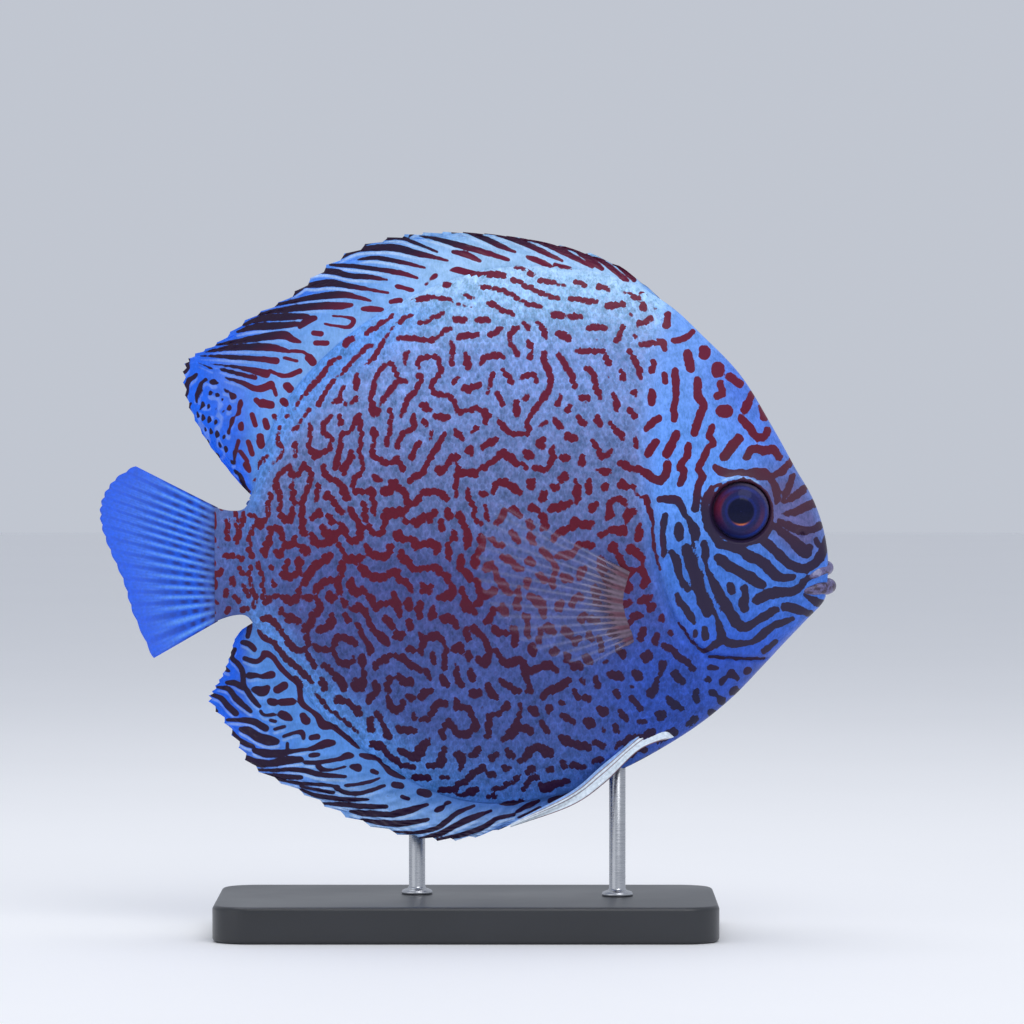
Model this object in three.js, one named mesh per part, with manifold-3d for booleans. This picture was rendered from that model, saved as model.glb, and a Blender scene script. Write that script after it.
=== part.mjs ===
// Adult discus fish, life size, as a still model on a plain display stand.
// Millimetres, +Z up, +X towards the snout. The fish's right side faces -Y.
// The origin is the middle of the underside of the stand's base.

import * as THREE from 'three';
import { mergeVertices } from 'three/addons/utils/BufferGeometryUtils.js';
import Module from 'manifold-3d';

const wasm = await Module();
wasm.setup();

// Driving dimensions
const GAP = 0.3;
const LIFT = 20;

const BODY_STATIONS = 42;
const BODY_ROWS = 16;
const BODY_CUT_REACH = 24;

// Back edge of the body from the snout to the end of the tail stalk: [x, height over the lowest fin]
const BACK_LINE = [
  [79.1, 59.6], [79.5, 62.9], [78.4, 69.3], [76.0, 75.9], [72.3, 82.3], [67.4, 91.1],
  [60.4, 102.5], [52.0, 111.3], [43.5, 118.8], [32.0, 124.5], [18.4, 126.7], [4.7, 126.1],
  [-8.5, 121.7], [-20.8, 115.3], [-31.6, 106.5], [-39.9, 96.8], [-44.8, 86.2], [-47.0, 77.4],
  [-48.8, 73.5], [-51.8, 72.8], [-55.5, 73.5],
];

// Belly edge, station for station with the back edge
const BELLY_LINE = [
  [79.1, 57.0], [78.7, 53.2], [74.7, 48.8], [70.3, 44.2], [65.0, 38.5], [58.6, 31.9],
  [51.4, 26.0], [43.5, 20.9], [34.9, 16.3], [24.5, 11.7], [12.9, 8.8], [0.8, 8.8],
  [-10.2, 12.3], [-21.2, 19.1], [-31.1, 27.1], [-38.2, 36.1], [-43.2, 42.9], [-46.6, 47.5],
  [-48.6, 49.7], [-51.6, 49.7], [-55.5, 48.4],
];

// Greatest half thickness at each station
const HALF_THICKNESS = [
  2.6, 3.4, 4.6, 6.0, 7.4, 8.6, 9.6, 10.5, 11.0, 11.0, 10.7,
  10.2, 9.5, 8.6, 7.5, 6.3, 5.1, 4.1, 3.4, 2.7, 2.2,
];

const NAPE_RIM = 0.5;
const FIN_RIM = 1.1;
const RIM_STATIONS = [6.6, 8.0];
const SECTION_POWER = 0.72;

const TAIL_BEND = { start: -15, end: -81, shift: 8 };

// Gill opening and nape, from the back down and forward under the throat
const HEAD_PARTING = [
  [47.2, 124.5], [44.4, 117.0], [41.5, 106.0], [39.9, 90.6], [40.0, 77.4], [40.6, 70.4],
  [41.5, 61.2], [43.5, 54.8], [45.6, 49.7], [49.2, 44.6], [53.2, 41.6], [59.3, 40.5], [84.0, 40.5],
];
const HEAD_FRONT = [[84.0, 124.5]];
const STALK_PARTING_X = -48.2;

const GILL_COVER = {
  outline: [
    [40.1, 77.4], [44.5, 78.6], [49.2, 75.6], [50.7, 65.3], [52.7, 55.4], [56.4, 46.6], [54.4, 42.6],
    [51.6, 42.4], [49.2, 44.6], [45.6, 49.7], [43.5, 54.8], [41.5, 61.2], [40.6, 70.4],
  ],
  plate: 2.0,
  proud: 0.5,
};

const EYE = { x: 60.0, height: 73.0, radius: 6.3, depth: 4.0, centreY: 6.3 };
const NOSTRIL = { x: 73.6, height: 67.8, y: 5.2, radius: 1.1 };

const MOUTH = { corner: [73.4, 56.8], lipHeight: 58.4, slit: 0.5, reach: 84 };
const LIP_STATIONS = 14;
const UPPER_LIP = { corner: [73.7, 4.3, 58.2], front: [79.0, 60.3], thickness: [0.8, 1.7] };
const LOWER_LIP = { corner: [73.7, 4.3, 55.4], front: [79.5, 56.3], thickness: [0.8, 1.8] };

// Fin edges: [body station, x, height] of the ray tips
const DORSAL = {
  rays: 36, step: 1, edge: [
    [8.0, 41.5, 120.8], [8.5, 30.2, 128.5], [9.2, 12.9, 132.7], [10.1, -3.6, 134.2],
    [11.0, -17.9, 132.9], [11.6, -28.9, 128.3], [12.4, -39.5, 119.9], [13.0, -48.3, 115.1],
    [13.6, -55.5, 109.6], [14.2, -60.8, 106.9], [14.8, -62.6, 103.8], [15.5, -61.7, 96.8],
    [16.2, -58.0, 89.1], [16.8, -52.9, 82.2], [17.3, -49.4, 78.2],
  ],
};
const ANAL = {
  rays: 32, step: -1, edge: [
    [8.8, 23.9, 9.9], [9.4, 12.9, 4.8], [10.1, -0.3, 0.4], [10.9, -12.4, 0.9],
    [11.5, -25.6, 4.8], [12.1, -36.2, 10.3], [12.7, -47.2, 16.1], [13.2, -50.7, 21.3],
    [13.7, -53.8, 26.4], [14.2, -57.1, 30.8], [14.8, -56.0, 33.4], [15.5, -53.8, 37.0],
    [16.2, -52.2, 41.1], [16.8, -51.2, 44.4], [17.2, -49.6, 46.6],
  ],
};
const CAUDAL = {
  rays: 16, edge: [
    [0.0, -73.4, 82.7], [0.12, -78.0, 79.6], [0.27, -80.8, 75.2], [0.42, -81.1, 70.4],
    [0.55, -79.3, 64.7], [0.7, -76.0, 57.2], [0.85, -73.8, 49.9], [1.0, -69.4, 40.0],
  ],
};
const FIN_ROWS = [0, 0.1, 0.28, 0.52, 0.78, 1];
const FIN_ROOT_HALF = 1.05;
const MEMBRANE_HALF = 0.28;
const RAY_HALF = 0.55;
const RAY_TIP_HALF = 0.3;
const RAY_WIDTH = 0.3;
const EDGE_NOTCH = 0.045;
const FIN_WAVE = { height: 0.7, turns: 3.5 };

const PECTORAL = {
  rays: 11,
  root: [[38.6, 58.2], [37.0, 44.6]],
  edge: [[0.0, 7.5, 75.5], [0.25, 2.6, 66.5], [0.5, 3.6, 56.0], [0.75, 12.5, 45.0], [1.0, 26.5, 39.4]],
  rootY: 8.2, tipY: 23.0, rootHalf: 1.1,
};
const PELVIC = {
  rays: 6,
  leading: [[45.6, 23.2], [38.2, 20.6], [30.5, 13.4], [22.8, 8.2], [9.6, 3.6]],
  trailing: [[41.0, 27.5], [35.4, 21.8], [29.2, 16.6], [22.6, 11.2], [9.9, 4.6]],
  rootY: 2.0, tipY: 6.4, rootHalf: 0.95, tipHalf: 0.35, rows: 9,
};

const STAND = {
  baseLength: 110, baseWidth: 60, baseHeight: 8, cornerRadius: 8, bevel: 1,
  rodRadius: 1.8, rodSides: 16, rodTop: 46,
  frontRod: [33.2, 0], backRod: [-11.0, 5.2],
};

const COLOURS = {
  flesh: 0x5b6fa9, head: 0x4f8fe0, lip: 0x6f7fb8, iris: 0x1a2050, fin: 0x3d4f8c,
  clearFin: 0x8fa2d0, stand: 0x2b2d30, rod: 0xb9bcc0,
};

// Small helpers
const clamp01 = (value) => Math.min(1, Math.max(0, value));
const mix = (a, b, t) => a + (b - a) * t;
const smooth = (from, to, value) => {
  const t = clamp01((value - from) / (to - from));
  return t * t * (3 - 2 * t);
};

// The tail end swings away from the viewed side as a parabola
function bend(x) {
  const t = clamp01((TAIL_BEND.start - x) / (TAIL_BEND.start - TAIL_BEND.end));
  return TAIL_BEND.shift * t * t;
}

function splineThrough(points) {
  return new THREE.SplineCurve(points.map(([x, z]) => new THREE.Vector2(x, z + LIFT)));
}

const backCurve = splineThrough(BACK_LINE);
const bellyCurve = splineThrough(BELLY_LINE);
const lastStation = BACK_LINE.length - 1;

function backAt(station) {
  return backCurve.getPoint(station / lastStation);
}

function bellyAt(station) {
  return bellyCurve.getPoint(station / lastStation);
}

function halfAt(station) {
  const low = Math.min(Math.floor(station), lastStation - 1);
  return mix(HALF_THICKNESS[low], HALF_THICKNESS[low + 1], station - low);
}

// A fin edge is read at a station of the body by a spline through its tips
function edgeCurve(edge) {
  const curve = splineThrough(edge.map(([, x, z]) => [x, z]));
  return (station) => {
    let k = 0;
    while (k < edge.length - 2 && station > edge[k + 1][0]) k += 1;
    const t = clamp01((station - edge[k][0]) / (edge[k + 1][0] - edge[k][0]));
    return curve.getPoint((k + t) / (edge.length - 1));
  };
}

function solidFrom(geometry) {
  const bare = geometry.clone();
  bare.deleteAttribute('normal');
  bare.deleteAttribute('uv');
  const merged = mergeVertices(bare, 1e-4);
  return new wasm.Manifold(new wasm.Mesh({
    numProp: 3,
    vertProperties: new Float32Array(merged.attributes.position.array),
    triVerts: new Uint32Array(merged.index.array),
  }));
}

// The largest closed surface of a solid, as a geometry
function geometryOf(solid) {
  const bodies = solid.decompose().sort((a, b) => b.volume() - a.volume());
  const mesh = bodies[0].getMesh();
  const geometry = new THREE.BufferGeometry();
  geometry.setAttribute('position', new THREE.BufferAttribute(new Float32Array(mesh.vertProperties), 3));
  geometry.setIndex(new THREE.BufferAttribute(new Uint32Array(mesh.triVerts), 1));
  geometry.computeVertexNormals();
  return geometry;
}

// Closed plate over a grid: place(i, j) gives the middle point and the half-thickness vector.
// Both faces are split into triangles alike.
function plate(columns, rows, place) {
  const positions = [];
  const index = [];
  const across = rows + 1;
  const faceSize = (columns + 1) * across;
  for (const side of [-1, 1]) {
    for (let i = 0; i <= columns; i += 1) {
      for (let j = 0; j <= rows; j += 1) {
        const { mid, half } = place(i, j);
        positions.push(mid.x + side * half.x, mid.y + side * half.y, mid.z + side * half.z);
      }
    }
  }
  const near = (i, j) => i * across + j;
  const far = (i, j) => faceSize + near(i, j);
  const quad = (a, b, c, d) => index.push(a, b, c, a, c, d);
  for (let i = 0; i < columns; i += 1) {
    for (let j = 0; j < rows; j += 1) {
      quad(near(i, j), near(i + 1, j), near(i + 1, j + 1), near(i, j + 1));
      index.push(far(i, j), far(i + 1, j + 1), far(i + 1, j), far(i, j), far(i, j + 1), far(i + 1, j + 1));
    }
    quad(near(i, 0), far(i, 0), far(i + 1, 0), near(i + 1, 0));
    quad(near(i, rows), near(i + 1, rows), far(i + 1, rows), far(i, rows));
  }
  for (let j = 0; j < rows; j += 1) {
    quad(near(0, j), near(0, j + 1), far(0, j + 1), far(0, j));
    quad(near(columns, j), far(columns, j), far(columns, j + 1), near(columns, j + 1));
  }
  return orientedOutward(positions, index);
}

// Turns the triangles round where the signed volume is negative
function orientedOutward(positions, index) {
  const corner = [new THREE.Vector3(), new THREE.Vector3(), new THREE.Vector3()];
  let volume = 0;
  for (let k = 0; k < index.length; k += 3) {
    corner.forEach((point, c) => point.fromArray(positions, index[k + c] * 3));
    volume += corner[0].dot(corner[1].clone().cross(corner[2]));
  }
  if (volume < 0) {
    for (let k = 0; k < index.length; k += 3) [index[k + 1], index[k + 2]] = [index[k + 2], index[k + 1]];
  }
  const geometry = new THREE.BufferGeometry();
  geometry.setAttribute('position', new THREE.Float32BufferAttribute(positions, 3));
  geometry.setIndex(index);
  return geometry;
}

// Whole body: chords from belly to back, each a lens section; grow moves every face outwards
function bodySolid(grow, growThickness = grow) {
  const geometry = plate(BODY_STATIONS, BODY_ROWS, (i, j) => {
    const station = lastStation * (i / BODY_STATIONS);
    const back = backAt(station);
    const belly = bellyAt(station);
    const chord = back.clone().sub(belly).normalize();
    back.addScaledVector(chord, grow);
    belly.addScaledVector(chord, -grow);
    if (i === 0) [back.x, belly.x] = [back.x + grow, belly.x + grow];
    if (i === BODY_STATIONS) [back.x, belly.x] = [back.x - grow, belly.x - grow];
    const v = (1 - Math.cos(Math.PI * (j / BODY_ROWS))) / 2;
    const rim = mix(NAPE_RIM, FIN_RIM, smooth(...RIM_STATIONS, station));
    const swell = (4 * v * (1 - v)) ** SECTION_POWER;
    const half = rim + (halfAt(station) - rim) * swell + growThickness;
    const x = mix(belly.x, back.x, v);
    return {
      mid: new THREE.Vector3(x, bend(x), mix(belly.y, back.y, v)),
      half: new THREE.Vector3(0, half, 0),
    };
  });
  return solidFrom(geometry);
}

// A prism through the body over an outline in the side view
function prism(points) {
  const shape = new THREE.Shape(points.map(([x, z]) => new THREE.Vector2(x, z + LIFT)));
  const geometry = new THREE.ExtrudeGeometry(shape, { depth: 2 * BODY_CUT_REACH, bevelEnabled: false });
  geometry.rotateX(Math.PI / 2);
  geometry.translate(0, BODY_CUT_REACH, 0);
  return solidFrom(geometry);
}

// Moves each point of a line sideways by the given distance
function offsetLine(points, distance, closed = false) {
  const count = points.length;
  return points.map(([x, z], k) => {
    const before = points[closed ? (k + count - 1) % count : Math.max(0, k - 1)];
    const after = points[closed ? (k + 1) % count : Math.min(count - 1, k + 1)];
    const along = new THREE.Vector2(after[0] - before[0], after[1] - before[1]).normalize();
    return [x - along.y * distance, z + along.x * distance];
  });
}

function ellipsoid(x, y, z, radii) {
  const geometry = new THREE.SphereGeometry(1, 20, 12);
  geometry.scale(...radii);
  geometry.translate(x, y, z);
  return solidFrom(geometry);
}

// A lip: a horseshoe from corner to corner round the snout, thickest in the middle
function lipSolid({ corner, front, thickness }, grow) {
  const sides = 9;
  const positions = [];
  const index = [];
  const [cornerX, cornerY, cornerZ] = corner;
  for (let k = 0; k <= LIP_STATIONS; k += 1) {
    const turn = Math.PI * (k / LIP_STATIONS);
    const forward = Math.sin(turn);
    const centre = new THREE.Vector3(
      mix(cornerX, front[0], forward), -cornerY * Math.cos(turn), mix(cornerZ, front[1], forward) + LIFT);
    const ahead = new THREE.Vector3((front[0] - cornerX) * Math.cos(turn), cornerY * Math.sin(turn), 0);
    const outward = new THREE.Vector3(ahead.y, -ahead.x, 0).normalize();
    const radius = mix(thickness[0], thickness[1], forward) + grow;
    for (let n = 0; n < sides; n += 1) {
      const angle = 2 * Math.PI * (n / sides);
      const point = centre.clone().addScaledVector(outward, radius * Math.cos(angle));
      positions.push(point.x, point.y, point.z + radius * Math.sin(angle));
    }
  }
  for (let k = 0; k < LIP_STATIONS; k += 1) {
    for (let n = 0; n < sides; n += 1) {
      const [a, b] = [k * sides + n, k * sides + ((n + 1) % sides)];
      index.push(a, b, b + sides, a, b + sides, a + sides);
    }
  }
  for (let n = 1; n < sides - 1; n += 1) {
    const last = LIP_STATIONS * sides;
    index.push(0, n + 1, n, last, last + n, last + n + 1);
  }
  return solidFrom(orientedOutward(positions, index));
}

// Column places across a fin: each ray has a foot, a crest and a foot, with membrane between rays
function rayColumns(rays) {
  const columns = [];
  for (let k = 0; k < rays; k += 1) {
    const centre = (k + 0.5) / rays;
    const foot = RAY_WIDTH / rays;
    columns.push({ u: k === 0 ? 0 : centre - foot, crest: false });
    columns.push({ u: centre, crest: true });
    columns.push({ u: k === rays - 1 ? 1 : centre + foot, crest: false });
  }
  return columns;
}

// Half thickness of a fin from its root (w = 0) to its edge (w = 1)
function finHalf(w, crest, rootHalf) {
  const outer = crest ? mix(RAY_HALF, RAY_TIP_HALF, w) : mix(MEMBRANE_HALF, MEMBRANE_HALF * 0.9, w);
  return mix(rootHalf, outer, smooth(0, 0.26, w));
}

// A fin on the back or the belly: rays lean back from the body's edge to the fin's edge
function medianFin({ rays, step, edge }, edgeLineAt) {
  const columns = rayColumns(rays);
  const tipAt = edgeCurve(edge);
  const first = edge[0][0];
  const last = edge[edge.length - 1][0];
  return plate(columns.length - 1, FIN_ROWS.length - 1, (i, j) => {
    const { u, crest } = columns[i];
    const w = FIN_ROWS[j];
    const station = mix(first, last, u);
    const here = edgeLineAt(station);
    const ahead = edgeLineAt(station + 0.05).sub(edgeLineAt(station - 0.05)).normalize();
    const outward = new THREE.Vector2(ahead.y, -ahead.x).multiplyScalar(step);
    const root = here.addScaledVector(outward, GAP);
    const tip = tipAt(station);
    const reach = crest ? 1 : 1 - EDGE_NOTCH;
    const point = root.clone().lerp(tip, w * reach);
    const arch = 0.1 * root.distanceTo(tip) * Math.sin(Math.PI * w) * smooth(0, 0.12, 1 - u);
    point.addScaledVector(outward, arch);
    const wave = FIN_WAVE.height * w * Math.sin(2 * Math.PI * FIN_WAVE.turns * u);
    return {
      mid: new THREE.Vector3(point.x, bend(point.x) + wave, point.y),
      half: new THREE.Vector3(0, finHalf(w, crest, FIN_ROOT_HALF), 0),
    };
  });
}

// Tail fin: a fan from the end of the stalk
function caudalFin() {
  const columns = rayColumns(CAUDAL.rays);
  const tipAt = edgeCurve(CAUDAL.edge);
  const top = backAt(lastStation);
  const bottom = bellyAt(lastStation);
  return plate(columns.length - 1, FIN_ROWS.length - 1, (i, j) => {
    const { u, crest } = columns[i];
    const w = FIN_ROWS[j];
    const root = top.clone().lerp(bottom, u);
    root.x -= GAP;
    const reach = crest ? 1 : 1 - EDGE_NOTCH;
    const point = root.lerp(tipAt(u), w * reach);
    const wave = FIN_WAVE.height * w * Math.sin(2 * Math.PI * 1.2 * u);
    return {
      mid: new THREE.Vector3(point.x, bend(point.x) + wave, point.y),
      half: new THREE.Vector3(0, finHalf(w, crest, FIN_ROOT_HALF), 0),
    };
  });
}

// Breast fin: a fan that stands off the flank; side is -1 on the viewed side
function pectoralFin(side) {
  const columns = rayColumns(PECTORAL.rays);
  const tipAt = edgeCurve(PECTORAL.edge);
  const [upper, lower] = PECTORAL.root.map(([x, z]) => new THREE.Vector2(x, z + LIFT));
  const spread = PECTORAL.tipY - PECTORAL.rootY;
  const along = new THREE.Vector3(-32, side * spread, 4).normalize();
  const across = new THREE.Vector3(lower.x - upper.x, 0, lower.y - upper.y).normalize();
  const normal = along.cross(across).normalize();
  return plate(columns.length - 1, FIN_ROWS.length - 1, (i, j) => {
    const { u, crest } = columns[i];
    const w = FIN_ROWS[j];
    const reach = crest ? 1 : 1 - EDGE_NOTCH;
    const point = upper.clone().lerp(lower, u).lerp(tipAt(u), w * reach);
    const camber = 1.6 * Math.sin(Math.PI * w) + 1.2 * w * Math.cos(2 * Math.PI * u);
    const y = side * (PECTORAL.rootY + spread * w + camber);
    const half = finHalf(clamp01((w - 0.1) / 0.9), crest, PECTORAL.rootHalf);
    return { mid: new THREE.Vector3(point.x, y, point.y), half: normal.clone().multiplyScalar(half) };
  });
}

// Belly fin: long rays side by side that run to one drawn-out tip
function pelvicFin(side) {
  const columns = rayColumns(PELVIC.rays);
  const leading = splineThrough(PELVIC.leading);
  const trailing = splineThrough(PELVIC.trailing);
  return plate(columns.length - 1, PELVIC.rows, (i, j) => {
    const { u, crest } = columns[i];
    const w = j / PELVIC.rows;
    const point = leading.getPoint(w).lerp(trailing.getPoint(w), u);
    const y = side * (PELVIC.rootY + (PELVIC.tipY - PELVIC.rootY) * w ** 0.6);
    const half = mix(PELVIC.rootHalf, PELVIC.tipHalf, w) * (crest ? 1 : 0.66);
    return { mid: new THREE.Vector3(point.x, y, point.y), half: new THREE.Vector3(0, half, 0) };
  });
}

function standBase() {
  const { baseLength, baseWidth, baseHeight, cornerRadius, bevel } = STAND;
  const [halfX, halfY] = [baseLength / 2 - bevel, baseWidth / 2 - bevel];
  const shape = new THREE.Shape();
  const corners = [[halfX, -halfY, -90], [halfX, halfY, 0], [-halfX, halfY, 90], [-halfX, -halfY, 180]];
  for (const [x, y, startDegrees] of corners) {
    const start = THREE.MathUtils.degToRad(startDegrees);
    const centreX = x - Math.sign(x) * cornerRadius;
    const centreY = y - Math.sign(y) * cornerRadius;
    shape.absarc(centreX, centreY, cornerRadius, start, start + Math.PI / 2, false);
  }
  const geometry = new THREE.ExtrudeGeometry(shape, {
    depth: baseHeight - 2 * bevel, bevelThickness: bevel, bevelSize: bevel, bevelSegments: 1, curveSegments: 5,
  });
  geometry.translate(0, 0, bevel);
  return solidFrom(geometry);
}

function standRod([x, y], keepClear) {
  const bottom = STAND.baseHeight + GAP;
  const length = STAND.rodTop + LIFT - bottom;
  const geometry = new THREE.CylinderGeometry(STAND.rodRadius, STAND.rodRadius, length, STAND.rodSides);
  geometry.rotateX(Math.PI / 2);
  geometry.translate(x, y, bottom + length / 2);
  const cut = solidFrom(geometry).subtract(keepClear);
  const pieces = cut.decompose();
  return pieces.reduce((lowest, piece) => {
    const isLower = piece.boundingBox().min[2] < lowest.boundingBox().min[2];
    return isLower ? piece : lowest;
  });
}

// Body and its partings
const body = bodySolid(0);
const bodyClear = bodySolid(GAP);
const headPrism = prism([...HEAD_PARTING, ...HEAD_FRONT]);
const headPrismWide = prism([...offsetLine(HEAD_PARTING, -GAP), ...HEAD_FRONT]);
const stalkFront = prism([
  [STALK_PARTING_X + GAP / 2, -10], [90, -10], [90, 140], [STALK_PARTING_X + GAP / 2, 140]]);
const stalkBack = prism([
  [-90, -10], [STALK_PARTING_X - GAP / 2, -10], [STALK_PARTING_X - GAP / 2, 140], [-90, 140]]);

// Gill covers: plates sunk in the sides of the head, their rear edge at the gill opening
const gillShell = bodySolid(0, GILL_COVER.proud).subtract(bodySolid(0, -GILL_COVER.plate));
const gillCovers = prism(GILL_COVER.outline).intersect(gillShell);
const gillSeat = prism(offsetLine(GILL_COVER.outline, GAP, true))
  .subtract(bodySolid(0, -GILL_COVER.plate - GAP));

function sideOf(solid, side) {
  return solid.decompose().filter((piece) => Math.sign(piece.boundingBox().max[1]
    + piece.boundingBox().min[1]) === side).sort((a, b) => b.volume() - a.volume())[0];
}

function eyeSolid(side, grow) {
  const { x, height, radius, depth, centreY } = EYE;
  return ellipsoid(x, side * centreY, height + LIFT, [radius + grow, depth + grow, radius + grow]);
}

function nostril(side) {
  const { x, height, y, radius } = NOSTRIL;
  return ellipsoid(x, side * y, height + LIFT, [radius, radius, radius]);
}

// Line of the mouth: a thin wedge from the corners forward
const mouthWedge = prism([
  MOUTH.corner, [MOUTH.reach, MOUTH.lipHeight - MOUTH.slit / 2], [MOUTH.reach, MOUTH.lipHeight + MOUTH.slit]]);

let head = body.intersect(headPrism).subtract(gillSeat).subtract(mouthWedge);
for (const side of [-1, 1]) {
  head = head.subtract(eyeSolid(side, GAP)).subtract(nostril(side));
}
for (const lip of [UPPER_LIP, LOWER_LIP]) head = head.subtract(lipSolid(lip, GAP));

const torso = body.subtract(headPrismWide).intersect(stalkFront);
const tailStalk = body.intersect(stalkBack);

const group = new THREE.Group();

function add(name, solid, color, roughness = 0.45, metalness = 0) {
  const material = new THREE.MeshStandardMaterial({ color, roughness, metalness });
  const mesh = new THREE.Mesh(geometryOf(solid), material);
  mesh.name = name;
  group.add(mesh);
}

add('head', head, COLOURS.head);
add('torso', torso, COLOURS.flesh);
add('tail_stalk', tailStalk, COLOURS.flesh);
add('upper_lip', lipSolid(UPPER_LIP, 0).subtract(mouthWedge), COLOURS.lip);
add('lower_lip', lipSolid(LOWER_LIP, 0).subtract(mouthWedge), COLOURS.lip);
add('dorsal_fin', solidFrom(medianFin(DORSAL, backAt)), COLOURS.fin);
add('anal_fin', solidFrom(medianFin(ANAL, bellyAt)), COLOURS.fin);
add('caudal_fin', solidFrom(caudalFin()), COLOURS.clearFin);

for (const [hand, side] of [['right', -1], ['left', 1]]) {
  add(`gill_cover_${hand}`, sideOf(gillCovers, side), COLOURS.head);
  add(`eye_${hand}`, eyeSolid(side, 0), COLOURS.iris, 0.15);
  add(`pectoral_fin_${hand}`, solidFrom(pectoralFin(side)).subtract(bodyClear), COLOURS.clearFin);
  add(`pelvic_fin_${hand}`, solidFrom(pelvicFin(side)).subtract(bodyClear), COLOURS.clearFin);
}

add('stand_base', standBase(), COLOURS.stand, 0.5);
add('stand_rod_front', standRod(STAND.frontRod, bodyClear), COLOURS.rod, 0.3, 1);
add('stand_rod_back', standRod(STAND.backRod, bodyClear), COLOURS.rod, 0.3, 1);

export default group;
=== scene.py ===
"""An adult discus fish, life size, on a plain display stand.

The skin, scales, fins, eyes and lips are surfaces worked out from a few outlines in millimetres.
The maze of markings is a band-passed noise field that a few listed strokes guide, and each
piece carries that field as an attribute that its material turns into colour.
"""

import bpy
import numpy as np
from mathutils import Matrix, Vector


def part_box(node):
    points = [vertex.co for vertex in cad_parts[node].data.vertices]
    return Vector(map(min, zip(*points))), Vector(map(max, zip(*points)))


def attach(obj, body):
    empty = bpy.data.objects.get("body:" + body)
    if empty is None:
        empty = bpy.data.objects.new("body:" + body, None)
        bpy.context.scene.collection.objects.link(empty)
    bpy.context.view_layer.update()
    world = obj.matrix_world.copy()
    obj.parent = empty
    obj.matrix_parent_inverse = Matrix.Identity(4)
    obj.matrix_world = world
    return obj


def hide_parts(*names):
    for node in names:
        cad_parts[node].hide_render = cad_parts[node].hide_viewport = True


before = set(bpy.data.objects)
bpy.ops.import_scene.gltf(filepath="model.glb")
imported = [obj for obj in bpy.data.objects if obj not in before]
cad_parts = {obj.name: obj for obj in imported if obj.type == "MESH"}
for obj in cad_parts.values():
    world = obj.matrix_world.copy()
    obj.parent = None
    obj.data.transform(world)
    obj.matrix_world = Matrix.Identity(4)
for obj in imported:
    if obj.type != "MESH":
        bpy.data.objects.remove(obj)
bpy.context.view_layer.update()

bl_info = {
    "name": "Discus fish on a stand",
    "version": (1, 0, 0),
    "blender": (4, 5, 0),
    "location": "View3D > Sidebar > Discus",
    "description": "Builds a life-size discus fish with its markings, scales, fins and stand",
    "category": "Add Mesh",
}

MM = 0.001
SIDES = (("right", -1), ("left", 1))

# Millimetres from here on: the lowest fin over the table, and the fish's height over its fins
LIFT = 20.0
FISH_HEIGHT = 134.0

# Back and belly edges from the snout to the end of the tail stalk: x, height over the lowest fin.
# The points are the body's stations 0, 1, 2 and so on.
BACK_LINE = (
    (79.1, 59.6), (79.5, 62.9), (78.4, 69.3), (76.0, 75.9), (72.3, 82.3), (67.4, 91.1),
    (60.4, 102.5), (52.0, 111.3), (43.5, 118.8), (32.0, 124.5), (18.4, 126.7), (4.7, 126.1),
    (-8.5, 121.7), (-20.8, 115.3), (-31.6, 106.5), (-39.9, 96.8), (-44.8, 86.2), (-47.0, 77.4),
    (-48.8, 73.5), (-51.8, 72.8), (-55.5, 73.5),
)
BELLY_LINE = (
    (79.1, 57.0), (78.7, 53.2), (74.7, 48.8), (70.3, 44.2), (65.0, 38.5), (58.6, 31.9),
    (51.4, 26.0), (43.5, 20.9), (34.9, 16.3), (24.5, 11.7), (12.9, 8.8), (0.8, 8.8),
    (-10.2, 12.3), (-21.2, 19.1), (-31.1, 27.1), (-38.2, 36.1), (-43.2, 42.9), (-46.6, 47.5),
    (-48.6, 49.7), (-51.6, 49.7), (-55.5, 48.4),
)
# Half the body's thickness at each station
HALF_THICKNESS = (
    2.6, 3.4, 4.6, 6.0, 7.4, 8.6, 9.6, 10.5, 11.0, 11.0, 10.7,
    10.2, 9.5, 8.6, 7.5, 6.3, 5.1, 4.1, 3.4, 2.7, 2.2,
)
LAST = len(BACK_LINE) - 1
# Half thickness at the body's very edge, and how full its section is: ahead of the fins, and along them
NAPE_RIM, FIN_RIM = 0.25, 1.0
HEAD_POWER, TORSO_POWER = 0.6, 0.72
# Where the tail's swing to the left starts and ends, and how far it goes
BEND_START, BEND_END, BEND_SHIFT = -15.0, -81.0, 8.0

GILL_OPENING = (
    (39.7, 84.0), (39.9, 79.4), (40.6, 70.4), (41.5, 61.2), (43.5, 54.8), (45.6, 49.7),
    (49.2, 44.6), (53.2, 41.6), (59.3, 40.9), (66.0, 40.7),
)
HEAD_EDGE = ((46.5, 124.5), (44.4, 117.0), (41.5, 106.0), (39.9, 92.0)) + GILL_OPENING[1:]
# Eye: middle, radius, depth of its dome, and how far out from the fish's middle plane the dome starts
EYE_AT, EYE_RADIUS, EYE_DEPTH, EYE_Y = (60.0, 73.0), 6.3, 4.0, 6.3
NOSTRIL_AT = (73.6, 67.8)

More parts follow.
